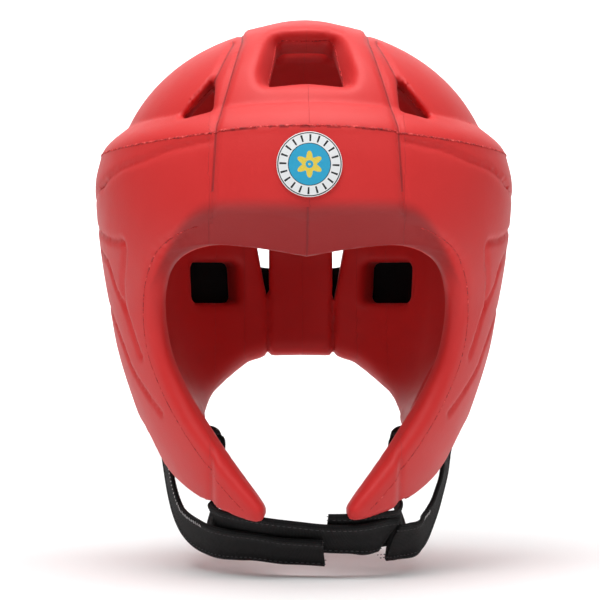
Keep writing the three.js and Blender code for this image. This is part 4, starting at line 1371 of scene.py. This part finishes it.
def settle(points):
    """Moves points onto the foam's surface and pairs them with the outward directions there."""
    straps = [strap_sections(rows, 4) for rows in (LEFT_STRAP, RIGHT_STRAP)]
    step = 0.5
    for _ in range(5):
        here = shell_field(*points.T, straps)
        slope = np.stack([
            shell_field(*(points + step * np.eye(3)[i]).T, straps) - here for i in range(3)
        ], 1) / step
        steep = np.linalg.norm(slope, axis=1)[:, None] + 1e-6
        points = points - slope / steep * np.clip(here[:, None] / steep, -2, 2)
    return [(p, n) for p, n, h in zip(points, slope / steep, here) if abs(h) < 0.4]


def vent_lines():
    """Points along the torn inner edges of the front vent and of both side vents."""
    lines = []
    for rows, (mouth, foam, lean), path, sides in (
        (FRONT_VENT, FRONT_VENT_TUNNEL, (2, 3, 4, 0), (1,)),
        (SIDE_VENT, SIDE_VENT_TUNNEL, (2, 0), (1, -1)),
    ):
        corners = [rows[i] for i in path]
        flat = []
        for (x0, z0, _, _), (x1, z1, _, _) in zip(corners[:-1], corners[1:]):
            for t in np.linspace(0.04, 0.96, 24):
                flat.append((x0 + (x1 - x0) * t, z0 + (z1 - z0) * t))
        for side in sides:
            line = [(side * x, mouth + foam * 0.9 + lean * z, z) for x, z in flat]
            lines.append(settle(np.array(line)))
    return lines


def rim_lines():
    """Points along the seam round the outside of the face opening's rim."""
    rows = refine_line([(a * HALF_WIDTH, height_at(l), -r * FRONT_REACH, m * RIM_BEVEL)
                        for a, l, r, m, _ in FACE_ROWS], 8)
    rows = rows[(rows[:, 3] > 1.5) & (rows[:, 1] > height_at(0.94))]
    flat = rows[:, :2]
    along = np.gradient(flat, axis=0)
    along /= np.linalg.norm(along, axis=1)[:, None]
    out = np.stack([-along[:, 1], along[:, 0]], 1)
    x = flat[:, 0] + out[:, 0] * (rows[:, 3] + 4.5)
    z = flat[:, 1] + out[:, 1] * (rows[:, 3] + 4.5)
    y = on_form(x, z, 0.0, behind=False)
    lines = []
    for side in (1, -1):
        lines.append(settle(np.stack([side * x, y, z], 1)))
    return lines


WHIPPED_SECTIONS = {"left": (146, 182), "right": (142, 150)}
END_CHAMFER = {"left": 0.0, "right": 8.0}


class GUARD_OT_chin_straps(bpy.types.Operator):
    """Builds both chin straps with bound edges and pale stitching"""

    bl_idname = "head_guard.chin_straps"
    bl_label = "Chin straps"

    def execute(self, context):
        values = settings().strap
        webbing = webbing_material("webbing", values.colour[:], values.light[:])
        thread = plain_material("pale_thread", values.stitch_colour[:], 0.7)
        profile = strap_profile(STRAP_WIDTH, STRAP_THICKNESS)
        dark = plain_material("dark_grey_thread", (0.05, 0.05, 0.053), 0.7)
        tree = row_tree("stitch_row", dark, "bead")
        pale_tree = row_tree("whipping_row", thread, "bead")
        for name, rows in (("left", LEFT_STRAP), ("right", RIGHT_STRAP)):
            centres, across, face = strap_sections(rows, twist=values.twist)
            piece = sweep("webbing_" + name, centres, across, face, profile, webbing,
                          END_CHAMFER[name])
            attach(piece, "root")
            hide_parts("chin_strap_" + name)
            inset = STRAP_WIDTH / 2 - 3.4
            lines = [strap_line(centres, across, face, u, side)
                     for u in (-inset, inset) for side in (1, -1)]
            sizes = row_sizes(values.stitch_pitch, 0.0019, 0.0005, 0.0005, 0.15, 0.0, 5)
            row = row_along("stitching_" + name, lines, tree, sizes, dark)
            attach(row, "root")
            start, end = WHIPPED_SECTIONS[name]
            lines = [strap_line(centres, across, face, -STRAP_WIDTH / 2 + 2.2, side)[start:end]
                     for side in (1, -1)]
            sizes = row_sizes(0.0021, 0.0007, 0.0024, 0.0007, 0.25, 0.06, 9)
            row = row_along("whipping_" + name, lines, pale_tree, sizes, thread)
            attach(row, "root")
        return {"FINISHED"}


def strap_line(centres, across, face, u, side):
    """A line along one face of a strap, with the directions out of that face."""
    path = centres + across * u + face * side * (STRAP_THICKNESS / 2 * 0.97)
    return [(p, f * side) for p, f in zip(path, face)]


class GUARD_OT_rear_band(bpy.types.Operator):
    """Builds the elastic band over the back of the shell"""

    bl_idname = "head_guard.rear_band"
    bl_label = "Rear band"

    def execute(self, context):
        values = settings().strap
        elastic = webbing_material("elastic", values.colour[:], values.light[:], ribs=5.5)
        reach = BAND_HALF_SHARE * HALF_WIDTH
        across = np.linspace(-reach, reach, 121)
        half = BAND_WIDTH / 2
        drops = np.concatenate([[-half, -half + 0.4], np.linspace(-half + 1.4, half - 1.4, 17),
                                [half - 0.4, half]])
        thick = np.interp(np.abs(drops), [0, half - 1.4, half - 0.4, half], [1, 1, 0.85, 0.45])
        x = np.repeat(across[:, None], len(drops), 1)
        z = band_level(x) + drops[None]
        middle = SEAT_GAP + BAND_THICKNESS / 2
        grown = BAND_THICKNESS / 2 * np.repeat(thick[None], len(across), 0)
        outer = on_form(x, z, middle + grown, behind=True)
        inner = on_form(x, z, middle - grown, behind=True)
        count, rows = len(drops), len(across)
        length = np.cumsum(np.hypot(np.diff(across, prepend=across[0]),
                                    np.diff(outer[:, count // 2], prepend=outer[0, count // 2])))
        points = np.concatenate([np.stack([x, outer, z], -1).reshape(-1, 3),
                                 np.stack([x, inner, z], -1).reshape(-1, 3)])
        uv = np.stack([np.repeat(drops[None], rows, 0), np.repeat(length[:, None], count, 1)], -1)
        uvs = np.tile(uv.reshape(-1, 2) * 0.1, (2, 1))
        faces = []
        back = rows * count
        for i in range(rows - 1):
            for j in range(count - 1):
                a = i * count + j
                faces.append((a, a + 1, a + count + 1, a + count))
                faces.append((back + a, back + a + count, back + a + count + 1, back + a + 1))
            for j in (0, count - 1):
                a = i * count + j
                faces.append((a, a + count, back + a + count, back + a))
        for i in (0, rows - 1):
            for j in range(count - 1):
                a = i * count + j
                faces.append((a, a + 1, back + a + 1, back + a))
        piece = mesh_object("elastic_band", points, faces, [elastic], uvs)
        face_outwards(piece)
        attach(piece, "root")
        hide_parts("rear_strap")
        thread = plain_material("dark_thread", (0.06, 0.06, 0.065), 0.75)
        tree = row_tree("band_stitch_row", thread, "bead")
        lines = []
        for end in (-1, 1):
            for inset in (4, 9):
                line_x = np.full(24, end * (reach - inset))
                line_z = band_level(line_x) + np.linspace(-half + 3, half - 3, 24)
                line_y = on_form(line_x, line_z, middle + BAND_THICKNESS / 2, behind=True)
                line = np.stack([line_x, line_y, line_z], 1)
                lines.append(list(zip(line, outward_at(line))))
        sizes = row_sizes(0.003, 0.0023, 0.0007, 0.0006, 0.15, 0.0, 3)
        row = row_along("band_stitching", lines, tree, sizes, thread)
        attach(row, "root")
        return {"FINISHED"}


class GUARD_OT_patch(bpy.types.Operator):
    """Builds the round patch on the brow with a plain figure"""

    bl_idname = "head_guard.patch"
    bl_label = "Brow patch"

    def execute(self, context):
        values = settings().patch
        white = plain_material("patch_white", (0.83, 0.85, 0.86), 0.35)
        black = plain_material("patch_line", (0.012, 0.013, 0.016), 0.4)
        blue = plain_material("patch_field", values.field_colour[:], 0.35)
        yellow = plain_material("patch_motif", values.motif_colour[:], 0.38)
        turn = np.linspace(0, 2 * math.pi, 180, endpoint=False)
        petal = 5.1 + 1.5 * np.cos(6 * turn)
        even = np.ones_like(turn)
        # radii, and the material between this ring and the one before
        rings = [(0.6 * even, 3), (1.9 * even, 2), (petal * 0.55, 3), (petal * 0.99, 3),
                 (petal, 3), (7.6 * even, 2), (9.6 * even, 2), (10.1 * even, 2),
                 (10.1 * even + 0.35, 1), (11.2 * even, 0), (12.6 * even, 0),
                 (14.6 * even, 0), (15.1 * even, 0), (15.6 * even, 1),
                 ((BADGE_RADIUS - 0.1) * even, 0)]
        level = height_at(BADGE_LEVEL)
        points = [(BADGE_SHIFT, 0, level)]
        faces, slots = [], []
        count = len(turn)
        for ring, _ in rings:
            for radius, angle in zip(ring, turn):
                points.append((BADGE_SHIFT + radius * math.sin(angle), 0,
                               level + radius * math.cos(angle)))
        for j in range(count):
            faces.append((0, 1 + j, 1 + (j + 1) % count))
            slots.append(rings[0][1])
        for i in range(1, len(rings)):
            for j in range(count):
                k = (j + 1) % count
                a, b = 1 + (i - 1) * count, 1 + i * count
                faces.append((a + j, b + j, b + k, a + k))
                tick = 10 <= i <= 11 and j % 9 in (0, 1)
                slots.append(1 if tick else rings[i][1])
        points = np.array(points, float)
        x, _, z = points.T
        off = PANEL_RISE + SEAT_GAP + BADGE_THICKNESS
        points[:, 1] = on_form(x, z, off, behind=False)
        rim = 1 + (len(rings) - 1) * count
        under = points[rim:].copy()
        under[:, 1] = on_form(under[:, 0], under[:, 2], PANEL_RISE + SEAT_GAP, behind=False)
        side = points[rim:].copy()
        side[:, [0, 2]] += (side[:, [0, 2]] - [BADGE_SHIFT, level]) * 0.006
        side[:, 1] = on_form(side[:, 0], side[:, 2], off - 0.3, behind=False)
        start = len(points)
        points = np.concatenate([points, side, under, [[BADGE_SHIFT, 0, level]]])
        points[-1, 1] = on_form(points[-1:, 0], points[-1:, 2], PANEL_RISE + SEAT_GAP,
                                behind=False)[0]
        for a, b in ((rim, start), (start, start + count)):
            for j in range(count):
                k = (j + 1) % count
                faces.append((a + j, b + j, b + k, a + k))
                slots.append(0)
        centre = len(points) - 1
        for j in range(count):
            faces.append((centre, start + count + j, start + count + (j + 1) % count))
            slots.append(0)
        piece = mesh_object("brow_patch", points, faces, [white, black, blue, yellow], slots=slots)
        face_outwards(piece)
        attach(piece, "root")
        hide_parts("badge")
        return {"FINISHED"}


# name, place and size in metres, power in watts
LAMPS = (
    ("key", (-0.45, -1.0, 1.25), 0.8, 12.0),
    ("front", (0.6, -1.2, 1.0), 1.0, 5.5),
    ("side_left", (-1.2, -0.2, 0.6), 0.7, 1.1),
    ("side_right", (1.2, -0.2, 0.6), 0.7, 1.1),
    ("top", (0.0, -0.05, 1.05), 1.2, 15.5),
    ("back_wall", (0.0, 2.6, 2.3), 2.6, 140.0),
)
BACKDROP = Vector((0, 4.4, 0.3))
GUARD_MIDDLE = Vector((0, 0, -0.1))
CAMERA_HEIGHT = -0.130
CAMERA_SHIFT = -3.5 / 600


class GUARD_OT_studio(bpy.types.Operator):
    """Sets the pale floor, the soft lights and the camera"""

    bl_idname = "head_guard.studio"
    bl_label = "Studio"

    def execute(self, context):
        values = settings().studio
        nodes = Nodes("studio_floor")
        nodes.shader.inputs["Base Color"].default_value = (*values.floor_colour[:], 1)
        nodes.shader.inputs["Roughness"].default_value = 0.9
        nodes.shader.inputs["Specular IOR Level"].default_value = 0.1
        drop = values.floor_drop / MM
        profile = [(-2600, 0), (3400, 0)]
        for step in range(1, 17):
            angle = math.pi / 2 * step / 16
            profile.append((3400 + 1200 * math.sin(angle), 1200 - 1200 * math.cos(angle)))
        profile.append((4600, 5200))
        points = [(x, y, drop + z) for y, z in profile for x in (-4200, 4200)]
        faces = [(2 * i, 2 * i + 1, 2 * i + 3, 2 * i + 2) for i in range(len(profile) - 1)]
        floor = mesh_object("studio_sweep", points, faces, [nodes.material])
        scene = bpy.context.scene
        world = bpy.data.worlds.new("studio_world")
        world.use_nodes = True
        world.node_tree.nodes["Background"].inputs["Color"].default_value = (1, 1, 1, 1)
        world.node_tree.nodes["Background"].inputs["Strength"].default_value = 0.09
        scene.world = world
        for name, place, size, power in LAMPS:
            data = bpy.data.lights.new(name, "AREA")
            data.size = size
            data.energy = power
            lamp = bpy.data.objects.new(name, data)
            scene.collection.objects.link(lamp)
            lamp.location = place
            target = BACKDROP if name == "back_wall" else GUARD_MIDDLE
            lamp.rotation_euler = (target - lamp.location).to_track_quat("-Z", "Y").to_euler()
        data = bpy.data.cameras.new("front_camera")
        data.lens = values.lens
        data.sensor_width = 36
        data.shift_x = CAMERA_SHIFT
        camera = bpy.data.objects.new("front_camera", data)
        scene.collection.objects.link(camera)
        turn = values.turn
        camera.location = (
            -values.distance * math.sin(turn), -values.distance * math.cos(turn), CAMERA_HEIGHT
        )
        camera.rotation_euler = (math.pi / 2, 0, -turn)
        data.clip_end = 50
        scene.camera = camera
        scene.view_settings.view_transform = "Standard"
        return {"FINISHED"}


class GUARD_PT_panel(bpy.types.Panel):
    """Lists the pieces of the head guard"""

    bl_idname = "GUARD_PT_panel"
    bl_label = "Head guard"
    bl_space_type = "VIEW_3D"
    bl_region_type = "UI"
    bl_category = "Head guard"

    def draw(self, context):
        for group, operators in PARTS:
            box = self.layout.box()
            chosen = getattr(context.scene.head_guard, group)
            for name in chosen.bl_rna.properties.keys():
                if name not in ("rna_type", "name"):
                    box.prop(chosen, name)
            for operator in operators:
                box.operator(operator.bl_idname)


PARTS = (
    ("studio", (GUARD_OT_studio,)),
    ("shell", (GUARD_OT_shell, GUARD_OT_parting)),
    ("strap", (GUARD_OT_chin_straps, GUARD_OT_rear_band)),
    ("patch", (GUARD_OT_patch,)),
)
GROUPS = (ShellSettings, StrapSettings, PatchSettings, StudioSettings, HeadGuardSettings)


def register():
    for group in GROUPS:
        bpy.utils.register_class(group)
    for _, operators in PARTS:
        for operator in operators:
            bpy.utils.register_class(operator)
    bpy.utils.register_class(GUARD_PT_panel)
    bpy.types.Scene.head_guard = bpy.props.PointerProperty(type=HeadGuardSettings)


def unregister():
    del bpy.types.Scene.head_guard
    bpy.utils.unregister_class(GUARD_PT_panel)
    for _, operators in reversed(PARTS):
        for operator in reversed(operators):
            bpy.utils.unregister_class(operator)
    for group in reversed(GROUPS):
        bpy.utils.unregister_class(group)


def main():
    register()
    for _, operators in PARTS:
        for operator in operators:
            group, name = operator.bl_idname.split(".")
            getattr(getattr(bpy.ops, group), name)()


if __name__ == "__main__":
    main()
